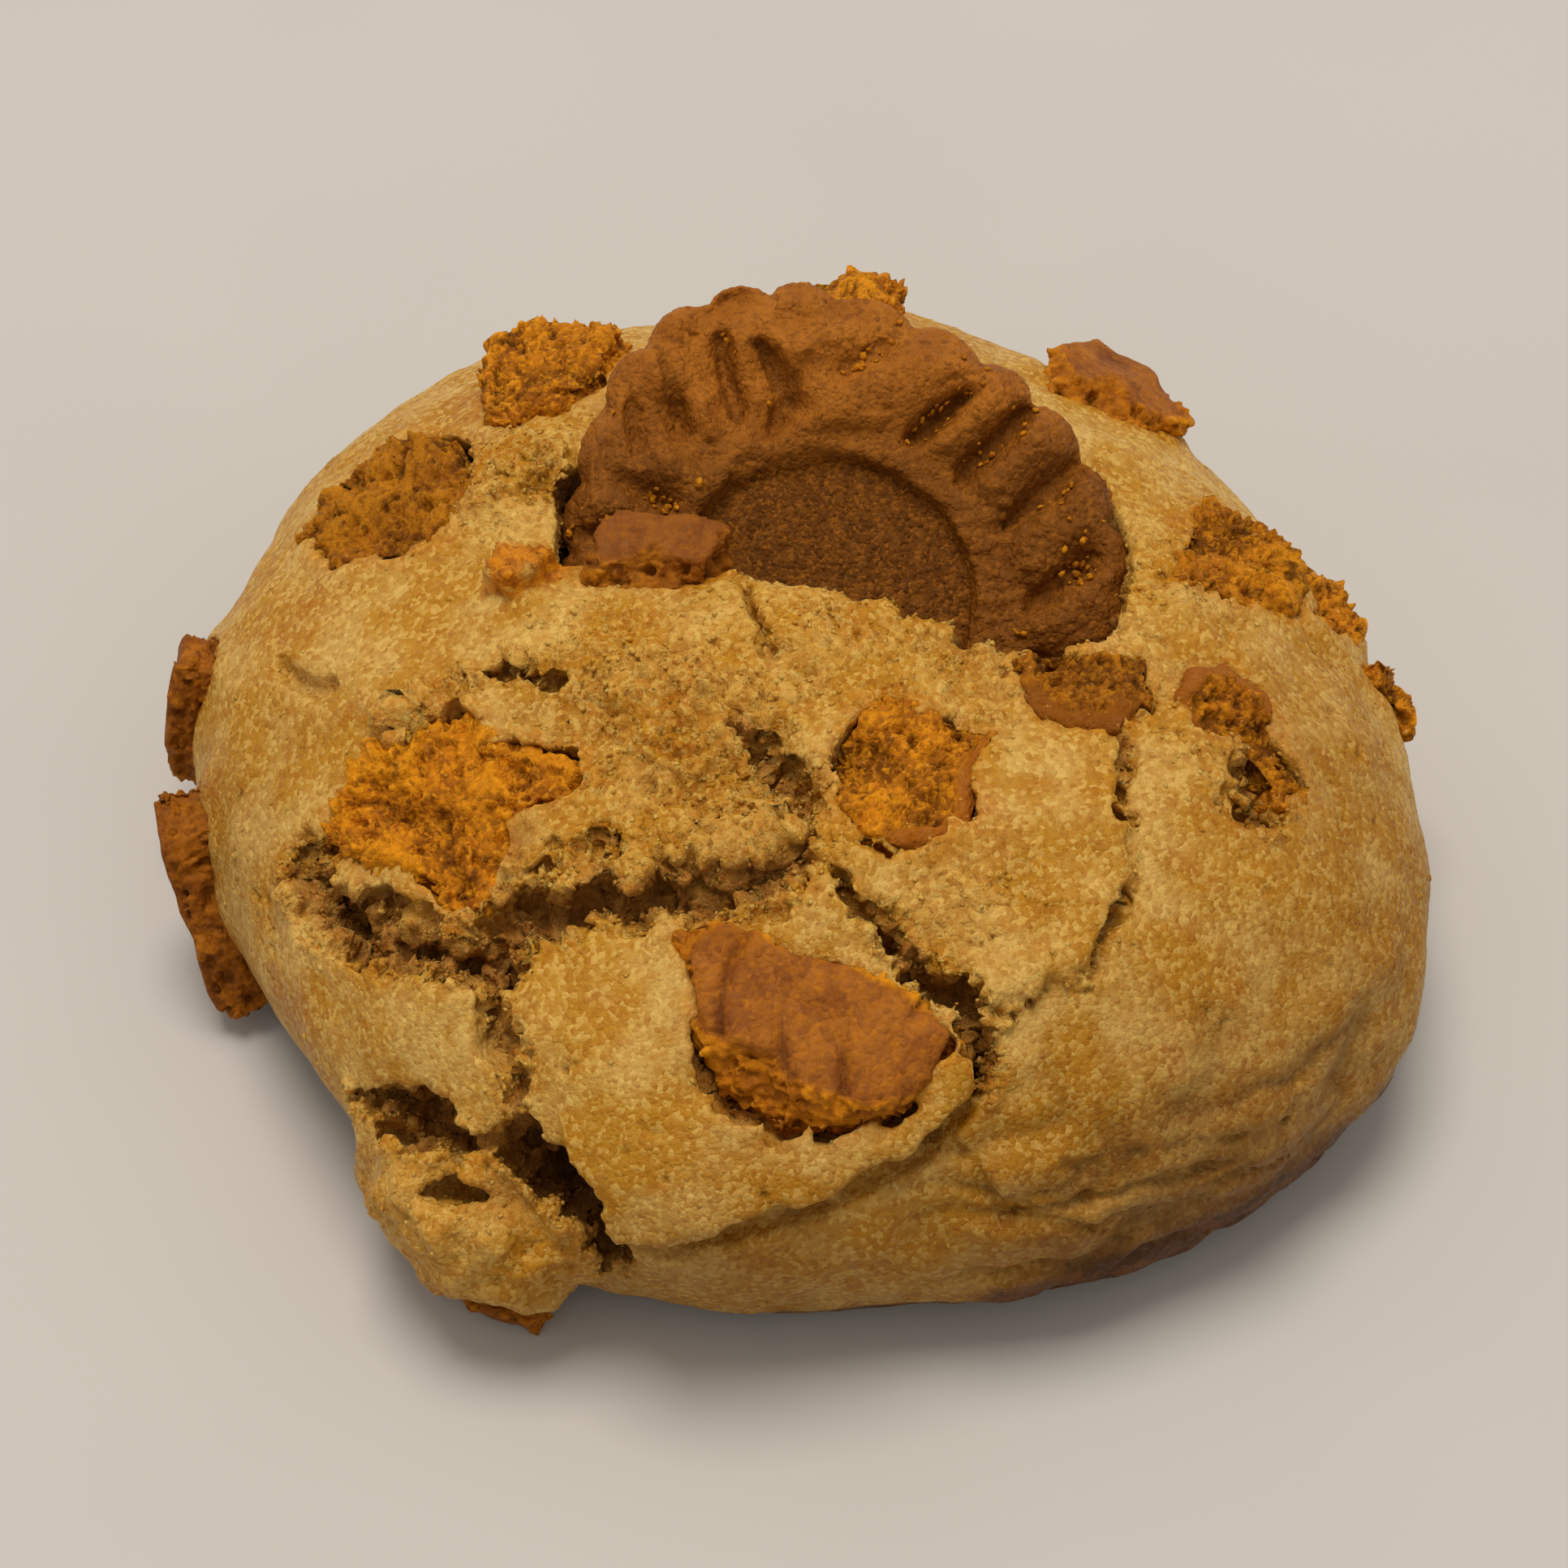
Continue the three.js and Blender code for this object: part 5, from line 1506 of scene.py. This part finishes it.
class COOKIE_OT_stage(bpy.types.Operator):
    """Lay the floor, hang the lights and set the camera at the photo's angle"""

    bl_idname = "cookie.stage"
    bl_label = "Stage"

    def execute(self, context):
        look = context.scene.cookie.stage
        scene = context.scene
        scene.view_settings.view_transform = "Standard"
        bm = bmesh.new()
        bmesh.ops.create_grid(bm, x_segments=8, y_segments=8, size=FLOOR_HALF_WIDTH)
        mesh = bpy.data.meshes.new("floor")
        bm.to_mesh(mesh)
        bm.free()
        floor = bpy.data.objects.new("floor", mesh)
        scene.collection.objects.link(floor)
        r = Recipe("plain pale floor")
        tone = r.mix(r.span(r.noise(60, 2), 0.3, 0.7), look.floor, [0.97 * v for v in look.floor])
        even = r.bump(r.noise(1.5, 2), 0.01, 0.3)
        mesh.materials.append(r.done(tone, 0.6, even, specular=0.25, glint=(1, 1, 1)))

        world = bpy.data.worlds.new("soft room")
        world.use_nodes = True
        background = world.node_tree.nodes["Background"]
        background.inputs["Color"].default_value = (1, 0.985, 0.96, 1)
        background.inputs["Strength"].default_value = look.fill
        scene.world = world

        lamp = bpy.data.lights.new("main soft light", "AREA")
        lamp.shape = "DISK"
        lamp.size = LAMP_SIZE
        lamp.energy = look.key
        lamp.color = (1, 0.97, 0.92)
        light = bpy.data.objects.new("main soft light", lamp)
        scene.collection.objects.link(light)
        light.location = LAMP_PLACE
        light.rotation_euler = (LAMP_AIM - LAMP_PLACE).to_track_quat("-Z", "Y").to_euler()

        lens = bpy.data.cameras.new("camera")
        lens.sensor_width = SENSOR_WIDTH
        lens.lens = LENS_LENGTH
        camera = bpy.data.objects.new("camera", lens)
        scene.collection.objects.link(camera)
        rise = math.radians(CAMERA_RISE)
        back = Vector((0, -math.cos(rise), math.sin(rise)))
        camera.location = (CAMERA_TARGET + back * CAMERA_DISTANCE) * MM
        camera.rotation_euler = (-back).to_track_quat("-Z", "Y").to_euler()
        lens.clip_start = 0.01
        scene.camera = camera
        return {"FINISHED"}


class COOKIE_OT_dough(bpy.types.Operator):
    """Bake the dough with its cracks, its torn flap and a pocket for each piece"""

    bl_idname = "cookie.dough"
    bl_label = "Dough"

    def execute(self, context):
        look = context.scene.cookie.dough
        dough = dome_object()
        combine(dough, [flap_object()], "UNION")
        cutters = [hollow_object(at, size, 70 + i) for i, (_, at, size) in enumerate(HOLLOWS)]
        cutters += [room_object(GAP, 0), opening_object()]
        cutters += [pocket_object(piece, 80 + i) for i, piece in enumerate(PIECES.values())]
        combine(dough, cutters, "DIFFERENCE")
        even_skin(dough, look.voxel / MM)
        crumbled(dough)
        points = points_of(dough)
        far = dome_normals(points) @ TOWARDS_CAMERA < 0
        thin_out(dough, DOUGH_TRIANGLES, hidden_in_dough(points), far)
        tint_dough(dough)
        finish_piece(dough, dough_material(look), "dough", "dough")
        return {"FINISHED"}


# grooves between the petals: bearing, lean from the radius in degrees, from and to what radius,
# half width, depth
GROOVES = [
    (0.4, 37, 13.7, 19.6, 1.8, 1.3),
    (26.3, 16, 13.1, 20.8, 1.9, 1.7),
    (48.8, -3.2, 13.3, 19.9, 1.9, 1.9),
    (69.7, -31.7, 13.4, 18.6, 1.8, 2.1),
    (90, -60, 18.0, 21.4, 1.3, 0.7),
    (105.5, 12, 15.8, 20.8, 1.1, 1.5),
    (113.1, -48, 14.4, 18.6, 1.0, 1.1),
    (121, -19.4, 16.2, 22.6, 1.1, 1.3),
    (133.5, -26.8, 17.6, 23.4, 1.1, 1.2),
    (144.9, -46, 19.1, 22.9, 1.4, 1.4),
    (152, 0, 15.0, 19.0, 1.4, 0.9),
    (163, 8, 14.2, 20.4, 1.8, 1.3),
] + [(181 + 18 * n, 0, 14.0, 19.8, 1.7, 1.2) for n in range(10)]

# how much narrower and wider than its half width a groove is on its steep and on its gentle side
STEEP_SIDE = 1.7
GENTLE_SIDE = 0.85

# the bearings at which the scalloped rim dips
RIM_NOTCHES = [
    2, 17, 32, 47.5, 61, 76, 91, 103.5, 114.5, 127, 140, 155, 169, 184, 199, 214, 229, 244, 259,
    274, 289, 304, 319, 334, 348,
]


def notch_depth(bearing):
    """How far the scalloped rim dips at each bearing, from 0 on a crown to 1 in a notch."""
    notches = np.array(RIM_NOTCHES + [RIM_NOTCHES[0] + 360])
    along = (bearing - notches[0]) % 360 + notches[0]
    i = np.clip(np.searchsorted(notches, along, side="right") - 1, 0, len(notches) - 2)
    share = (along - notches[i]) / (notches[i + 1] - notches[i])
    return 1 - np.sin(math.pi * share) ** 0.6


def from_groove(points, groove):
    """How far along a groove places lie, how far from it, and whether they are left of it."""
    bearing, lean, inner, outer, _, _ = groove
    turn = math.radians(bearing)
    way = math.radians(bearing + lean)
    step = np.array([math.cos(way), math.sin(way)]) * (outer - inner)
    past = points[:, :2] - np.array([math.cos(turn), math.sin(turn)]) * inner
    share = np.clip(past @ step / (step @ step), 0, 1)
    away = np.linalg.norm(past - share[:, None] * step, axis=1)
    return share, away, step[0] * past[:, 1] - step[1] * past[:, 0] > 0


def groove_marks(points):
    """How deep the grooves between the petals are at each place of the biscuit's face."""
    deepest = np.zeros(len(points))
    for number, groove in enumerate(GROOVES):
        *_, width, depth = groove
        share, away, left = from_groove(points, groove)
        away = away * np.where(left, STEEP_SIDE, GENTLE_SIDE)
        away += 0.35 * noise(points, 2.1, 500 + number) + 0.25 * noise(points, 0.9, 530 + number)
        taper = width * (0.7 + 0.3 * np.sin(math.pi * share))
        mark = depth * (1 - smoothstep(away, 0.2 * taper, 0.95 * taper))
        deepest = np.maximum(deepest, mark)
    return deepest


def petal_share(points):
    """How far each place of the face lies from the grooves, 0 in one and 1 on a petal's crest."""
    away = np.min([from_groove(points, groove)[1] for groove in GROOVES], axis=0)
    return smoothstep(away, 0.6, 2.6)


def biscuit_object():
    """The round biscuit, in its own plane with its face up."""
    half = BISCUIT_THICKNESS / 2
    rim = [(19.6, -half), (20.6, -half + 0.3), (21.3, -half + 0.9), (21.7, -1)]
    rim += [(BISCUIT_RADIUS, -0.2), (21.75, 0.4), (21.4, half - 1.4), (20.9, half - 0.85)]
    rim += [(20.2, half - 0.5), (19.2, half - 0.2)]
    under = [(radius, -half) for radius in np.linspace(0, 19, 30)]
    face = [(radius, half) for radius in np.linspace(18.4, 0, 60)]
    bm = turned(under + rim + face, 240)
    points = directions_of(bm)
    radius = np.maximum(np.hypot(points[:, 0], points[:, 1]), 1e-6)
    bearing = bearing_of(points)
    outer = smoothstep(radius, 12, BISCUIT_RADIUS)
    wobble = 0.2 * noise(points / radius[:, None] * 3, 1, 41)
    stretch = rim_swell(bearing) - 1.25 * notch_depth(bearing) * smoothstep(radius, 17, 21) + wobble
    points[:, :2] *= (1 + stretch * outer / radius)[:, None]
    move_points(bm, points)
    return bm


def recess_share(points):
    """1 in the sunken middle of the biscuit's face, 0 outside it, with a short wall between."""
    away = points[:, :2] - RECESS_CENTRE
    bearing = np.degrees(np.arctan2(away[:, 1], away[:, 0]))
    softened = np.exp(-(((bearing - 100) / 16) ** 2))
    edge = RECESS_RADIUS + 0.25 * noise(points, 3, 521) - 1.2 * softened
    return 1 - smoothstep(np.linalg.norm(away, axis=1), edge - 0.5, edge + 0.3 + 1.6 * softened)


def shape_face(points, faces_up):
    """Sinks the middle and the grooves into the biscuit's face and swells the petals."""
    radius = np.hypot(points[:, 0], points[:, 1])
    recess = recess_share(points)
    grooves = groove_marks(points)
    band = smoothstep(radius, 12.4, 14) * (1 - smoothstep(radius, 19, 22))
    swell = (0.1 + petal_share(points)) * band
    swell += 0.3 * rough(points, 3.4, 2, 531) * (1 - recess)
    bearing = bearing_of(points)
    lumpy = np.exp(-(((bearing - 118) / 32) ** 2)) * smoothstep(radius, 12, 15)
    swell += 1.9 * lumpy * noise(points, 3.4, 541) + 0.6 * lumpy * noise(points, 1.6, 542)
    sink = (RECESS_DEPTH + 0.4) * recess + grooves * (1 - recess)
    points[:, 2] += faces_up * (swell - 0.35 - sink)


def to_biscuit(points):
    """Places about the dome's axis, as seen from the biscuit's own plane."""
    turn = np.array(BISCUIT_PLACE.to_3x3())
    return (points - BISCUIT_CENTRE) @ turn


def in_biscuit(points, around, above):
    """Whether places lie in the round biscuit, grown by so much around and above it."""
    flat = to_biscuit(points)
    reach = BISCUIT_RADIUS + rim_swell(bearing_of(flat)) + around
    inside = np.hypot(flat[:, 0], flat[:, 1]) < reach
    return inside & (np.abs(flat[:, 2]) < BISCUIT_THICKNESS / 2 + above)


class COOKIE_OT_biscuit(bpy.types.Operator):
    """Press the round biscuit with its scalloped rim, petals and plain sunken middle"""

    bl_idname = "cookie.biscuit"
    bl_label = "Round biscuit"

    def execute(self, context):
        look = context.scene.cookie.biscuit
        bm = biscuit_object()
        bmesh.ops.subdivide_edges(bm, edges=[e for e in bm.edges if e.calc_length() > 0.7], cuts=1)
        points = directions_of(bm)
        shape_face(points, smoothstep(points[:, 2], 0.4, 1.6))
        move_points(bm, points)
        bm.transform(BISCUIT_PLACE)
        biscuit = put("pressed_biscuit", bm)
        even_skin(biscuit, look.voxel / MM)
        points = points_of(biscuit)
        normals = normals_of(biscuit)
        flat = to_biscuit(points)
        recess = recess_share(flat) * (flat[:, 2] > 0)
        lumps = 1 - smoothstep(cells(points, 0.75, 571), 0.1, 0.8)
        worn = 1 + 1.4 * smoothstep(noise(points, 6, 555), 0, 0.5)
        height = worn * (0.15 * rough(points, 1.3, 4, 551, 0.7) + 0.12 * lumps)
        height *= 1 - 0.65 * recess
        pit = smoothstep(noise(points, 0.9, 561), 0.5, 0.8)
        pit *= smoothstep(noise(points, 4, 562), -0.1, 0.5)
        height -= 0.35 * pit * (1 - recess)
        reshape(biscuit, points + height[:, None] * normals)
        thin_out(biscuit, BISCUIT_TRIANGLES, flat[:, 2] < 0)
        flat = to_biscuit(points_of(biscuit))
        up = smoothstep(flat[:, 2], -0.5, 0.6)
        note(biscuit, "recess", recess_share(flat) * up)
        # painted shade in the grooves, and darker towards the low ends from both darker baking and
        # painted shade
        low_end = 0.8 - 0.8 * smoothstep(flat[:, 1] + 1.2 * noise(flat, 3, 581), 9, 17)
        sunk = np.maximum(np.clip(groove_marks(flat) / 2, 0, 1), low_end) * up
        note(biscuit, "groove", sunk * (1 - recess_share(flat)))
        finish_piece(biscuit, biscuit_material(look), "biscuit", "round_biscuit")
        return {"FINISHED"}


def broken_front(ways, with_face):
    """How far a piece with a face is broken off, where its crumb shows beside the face."""
    return with_face * np.clip(-ways @ BROKEN_WAY, 0, 1) ** 2


def face_share(points, piece, seed):
    """How far a piece's baked face shows at each place, from 0 on its broken sides to 1."""
    beyond, above, ways = beyond_piece(points, piece)
    margin = 0.55 + BROKEN_MARGIN * broken_front(ways, piece[5])
    inner = 0.8 * rough(points, 2.2, 3, seed + 7) - beyond
    whole = smoothstep(inner, margin - 0.3, margin + 0.3)
    return piece[5] * smoothstep(above - piece[2], -1.5, -0.7) * whole


def pores(points, seed):
    """Small round holes of the open crumb, 1 in a hole."""
    return smoothstep(noise(points, 0.85, seed + 220), 0.4, 0.65)


def crumb_cells(points, seed):
    """Distance to the middles of the little lumps of the open crumb."""
    return cells(points + 0.25 * shift_noise(points, 0.6, seed + 190), 0.65, seed + 200)


def rim_share(points, piece, node):
    """How far a smooth baked rim shows at each place of a crumb piece."""
    way = RIMMED.get(node)
    if way is None:
        return np.zeros(len(points))
    beyond, _, ways = beyond_piece(points, piece)
    edge = beyond + 0.5 * rough(points, 1.6, 3, 611)
    return smoothstep(edge, -2.1, -1.4) * smoothstep(ways @ np.array(way), 0.1, 0.5)


def broken_piece(node, seed, voxel):
    """A broken slab of biscuit inside its outline, crumbly or with its baked face."""
    piece = PIECES[node]
    outline, thickness, proud, tip, crumbliness, with_face = piece
    middle, out, east, north, corners = piece_frame(outline, proud, tip)
    half = thickness / 2
    squareness = 7
    bm = ball(6)
    directions = directions_of(bm)
    flat = np.hypot(directions[:, 0], directions[:, 1])
    norm = (flat**squareness + np.abs(directions[:, 2]) ** squareness) ** (1 / squareness)
    bearing = np.arctan2(directions[:, 1], directions[:, 0])
    ways = np.column_stack([np.cos(bearing), np.sin(bearing)])
    reach = reach_of(corners, bearing)
    dent = crumbliness * (0.5 + 0.5 * noise(directions * 2.3, 1, seed))
    ring = np.column_stack([ways, directions[:, 2]]) * reach[:, None]
    reach = reach + (0.9 - 0.4 * with_face) * rough(ring, 2.6, 4, seed + 100, 0.7)
    radial = (reach - 0.9 * dent) * flat / norm
    level = (half - 1.5 * dent) * directions[:, 2] / norm
    up = smoothstep(directions[:, 2], 0, 0.4)
    front = broken_front(ways, with_face)
    edge = 1 - smoothstep(reach - radial, 0, 0.8 + BROKEN_MARGIN * front)
    level -= up * front * edge * BROKEN_DROP
    points = middle + np.outer(radial * ways[:, 0], east) + np.outer(radial * ways[:, 1], north)
    points += np.outer(level + proud - half, out)
    points[:, 2] = np.maximum(points[:, 2], FLOOR_CLEARANCE)
    move_points(bm, points)
    obj = put(node + "_broken", bm)
    combine_if_near(obj)
    even_skin(obj, voxel)
    points = points_of(obj)
    normals = normals_of(obj)
    face = face_share(points, piece, seed)
    broken = 1 - face
    rim = rim_share(points, piece, node)
    lumps = 1 - smoothstep(crumb_cells(points, seed), 0.05, 0.75)
    teeth = 0.5 * lumps + 0.3 * noise(points, 0.6, seed + 236)
    height = 1.2 * rough(points, 3.6, 4, seed + 230, 0.6)
    height += 0.5 * ledges(points, 4.4, teeth, seed + 235)
    height *= 0.3 + crumbliness
    height += 0.22 * lumps - 0.3 - 0.7 * pores(points, seed)
    height *= 1 - 0.9 * rim
    step = points - middle
    across = step @ east - 0.2 * (step @ north) + 1.6 * noise(points, 6, seed + 15)
    lines = (1 - np.abs(np.sin(across * 0.8 + 0.5))) ** 2.5
    lines *= smoothstep(noise(points, 6, seed + 17), -0.5, 0.2)
    grooves = 0.3 * noise(points, 3.5, seed + 16) - RIDGED.get(node, 0.1) * lines
    grooves += 0.08 * rough(points, 1.2, 3, seed + 240)
    height = height * broken + grooves * face
    # from this height the material paints shade in the dips of the crumb and in the lines of the
    # face, and highlights on raised crumb
    bright = 0.45 + BRIGHTER.get(node, 0) * broken
    note(obj, "high", bright + 0.4 * height * broken + 0.8 * grooves * face)
    reshape(obj, points + height[:, None] * normals)
    _, above, _ = beyond_piece(points, piece)
    thin_out(obj, PIECE_TRIANGLES, above < -1.5)
    points = points_of(obj)
    face = face_share(points, piece, seed)
    note(obj, "face", face)
    rim = rim_share(points, piece, node)
    note(obj, "rim", rim)
    # painted shade in the pores and in the creases between the lumps of the crumb
    crease = 0.5 * smoothstep(crumb_cells(points, seed), 0.45, 0.85)
    crease *= smoothstep(noise(points, 2.4, seed + 221), -0.4, 0.3)
    open_crumb = SOFTER_PORES.get(node, PORE_SHARE) * (1 - face) * (1 - rim)
    note(obj, "pit", np.maximum(crease, pores(points, seed)) * open_crumb)
    note(obj, "dark", np.full(len(points), DARKER.get(node, 0)))
    return obj


def combine_if_near(obj):
    """Keeps a piece out of the round biscuit's room where the two would meet."""
    if in_biscuit(points_of(obj), 0.5, 0).any():
        combine(obj, [room_object(0.1, 0)], "DIFFERENCE")


class COOKIE_OT_pieces(bpy.types.Operator):
    """Break the pieces of biscuit that are baked into the dough"""

    bl_idname = "cookie.pieces"
    bl_label = "Broken pieces"

    def execute(self, context):
        look = context.scene.cookie.pieces
        crumb = crumb_material(look)
        crust = crust_material(look)
        for number, (node, piece) in enumerate(PIECES.items()):
            obj = broken_piece(node, 50 + number, look.voxel / MM)
            material, slot = (crust, "crust") if piece[5] else (crumb, "crumb")
            finish_piece(obj, material, slot, node)
        return {"FINISHED"}


def scatter(name, places, normals, sizes, seed):
    """One mesh of many small uneven grains, each pressed a little into what it lies on."""
    bm = ball(1)
    corners = directions_of(bm)
    obj = put(name, bm)
    copies = obj.modifiers.new("copies", "ARRAY")
    copies.use_relative_offset = False
    copies.use_constant_offset = True
    copies.constant_offset_displace = (3 * MM, 0, 0)
    copies.count = len(places)
    settle(obj)
    random = np.random.default_rng(seed)
    count = len(places)
    shapes = corners[None] * random.uniform(0.55, 1.25, (count, 1, 3))
    shapes = shapes * random.uniform(0.72, 1.2, (count, len(corners), 1))
    turns = np.linalg.qr(random.normal(size=(count, 3, 3)))[0]
    turns *= np.linalg.det(turns)[:, None, None]
    shapes = np.einsum("nij,nkj->nki", turns, shapes)
    flatten = np.einsum("nkj,nj->nk", shapes, normals)
    shapes -= 0.35 * flatten[:, :, None] * normals[:, None]
    reshape(obj, (places[:, None] + shapes * sizes[:, None, None]).reshape(-1, 3))
    return obj


def copy_notes(source, grains, chosen, corners):
    """Gives every grain the numbers that are stored where it lies."""
    for name in ("high", "sunk", "deep", "toast", "baked", "spice", "browned_and_shaded", "torn"):
        values = np.empty(len(source.data.vertices), np.float32)
        source.data.attributes[name].data.foreach_get("value", values)
        # loose grains get a slightly higher height, so a little more painted highlight
        note(grains, name, np.repeat(values[chosen] + 0.12 * (name == "high"), corners))


class COOKIE_OT_crumbs(bpy.types.Operator):
    """Scatter loose crumbs of dough and of biscuit"""

    bl_idname = "cookie.crumbs"
    bl_label = "Loose crumbs"

    def execute(self, context):
        random = np.random.default_rng(7)
        dough = bpy.data.objects["baked_dough"]
        points = points_of(dough)
        normals = normals_of(dough)
        depth = depth_in(points) + lump_height(points)
        up = smoothstep(normals[:, 2], -0.2, 0.4) * smoothstep(points[:, 2], 2, 5)
        edge = smoothstep(depth, 0.3, 1.2) * (1 - smoothstep(depth, 1.8, 3.2))
        weight = up * (0.05 + edge + torn_share(points))
        weight *= smoothstep(noise(points, 3, 601), -0.7, 0.3)
        weight /= weight.sum()
        chosen = random.choice(len(points), DOUGH_CRUMBS, replace=False, p=weight)
        sizes = random.uniform(*DOUGH_CRUMB_SIZES, len(chosen))
        crumbs = scatter("dough_crumbs", points[chosen], normals[chosen], sizes, 8)
        copy_notes(dough, crumbs, chosen, CRUMB_CORNERS)
        finish_piece(crumbs, dough.data.materials[0], "dough")

        biscuit = bpy.data.objects["pressed_biscuit"]
        face = points_of(biscuit)
        flat = to_biscuit(face)
        radius = np.hypot(flat[:, 0], flat[:, 1])
        on_face = (flat[:, 2] > 0.8) & (radius > 11.5) & (face[:, 2] > 24)
        weight = on_face * (0.15 + groove_marks(flat)) * smoothstep(noise(face, 3, 621), 0, 0.6)
        weight /= weight.sum()
        chosen = random.choice(len(face), BISCUIT_CRUMBS, replace=False, p=weight)
        sizes = random.uniform(*BISCUIT_CRUMB_SIZES, len(chosen))
        up = normals_of(biscuit)[chosen]
        places = face[chosen] + up * (sizes * 0.5)[:, None]
        spiced = scatter("biscuit_crumbs", places, up, sizes, 9)
        # the biscuit crumbs get a share of painted highlight from their height
        for name, share in (("pit", 0), ("high", 0.55), ("dark", 0.1), ("rim", 0)):
            note(spiced, name, np.full(len(spiced.data.vertices), share))
        finish_piece(spiced, bpy.data.materials["broken biscuit crumb"], "crumb")
        return {"FINISHED"}


class COOKIE_PT_panel(bpy.types.Panel):
    """Lists the steps of the cookie"""

    bl_idname = "COOKIE_PT_panel"
    bl_label = "Cookie"
    bl_space_type = "VIEW_3D"
    bl_region_type = "UI"
    bl_category = "Cookie"

    def draw(self, context):
        for operator in OPERATORS:
            self.layout.operator(operator.bl_idname)
        for group in ("dough", "biscuit", "pieces", "stage"):
            box = self.layout.box()
            looks = getattr(context.scene.cookie, group)
            for name in looks.bl_rna.properties.keys():
                if name not in ("rna_type", "name"):
                    box.prop(looks, name)


OPERATORS = (
    COOKIE_OT_stage,
    COOKIE_OT_dough,
    COOKIE_OT_biscuit,
    COOKIE_OT_pieces,
    COOKIE_OT_crumbs,
)
CLASSES = (DoughLook, BiscuitLook, PieceLook, StageLook, CookieLooks, *OPERATORS, COOKIE_PT_panel)


def register():
    for cls in CLASSES:
        bpy.utils.register_class(cls)
    bpy.types.Scene.cookie = bpy.props.PointerProperty(type=CookieLooks)


def unregister():
    del bpy.types.Scene.cookie
    for cls in reversed(CLASSES):
        bpy.utils.unregister_class(cls)


def main():
    """Builds the cookie step by step."""
    register()
    bpy.ops.cookie.stage()
    bpy.ops.cookie.dough()
    bpy.ops.cookie.biscuit()
    bpy.ops.cookie.pieces()
    bpy.ops.cookie.crumbs()


if __name__ == "__main__":
    main()
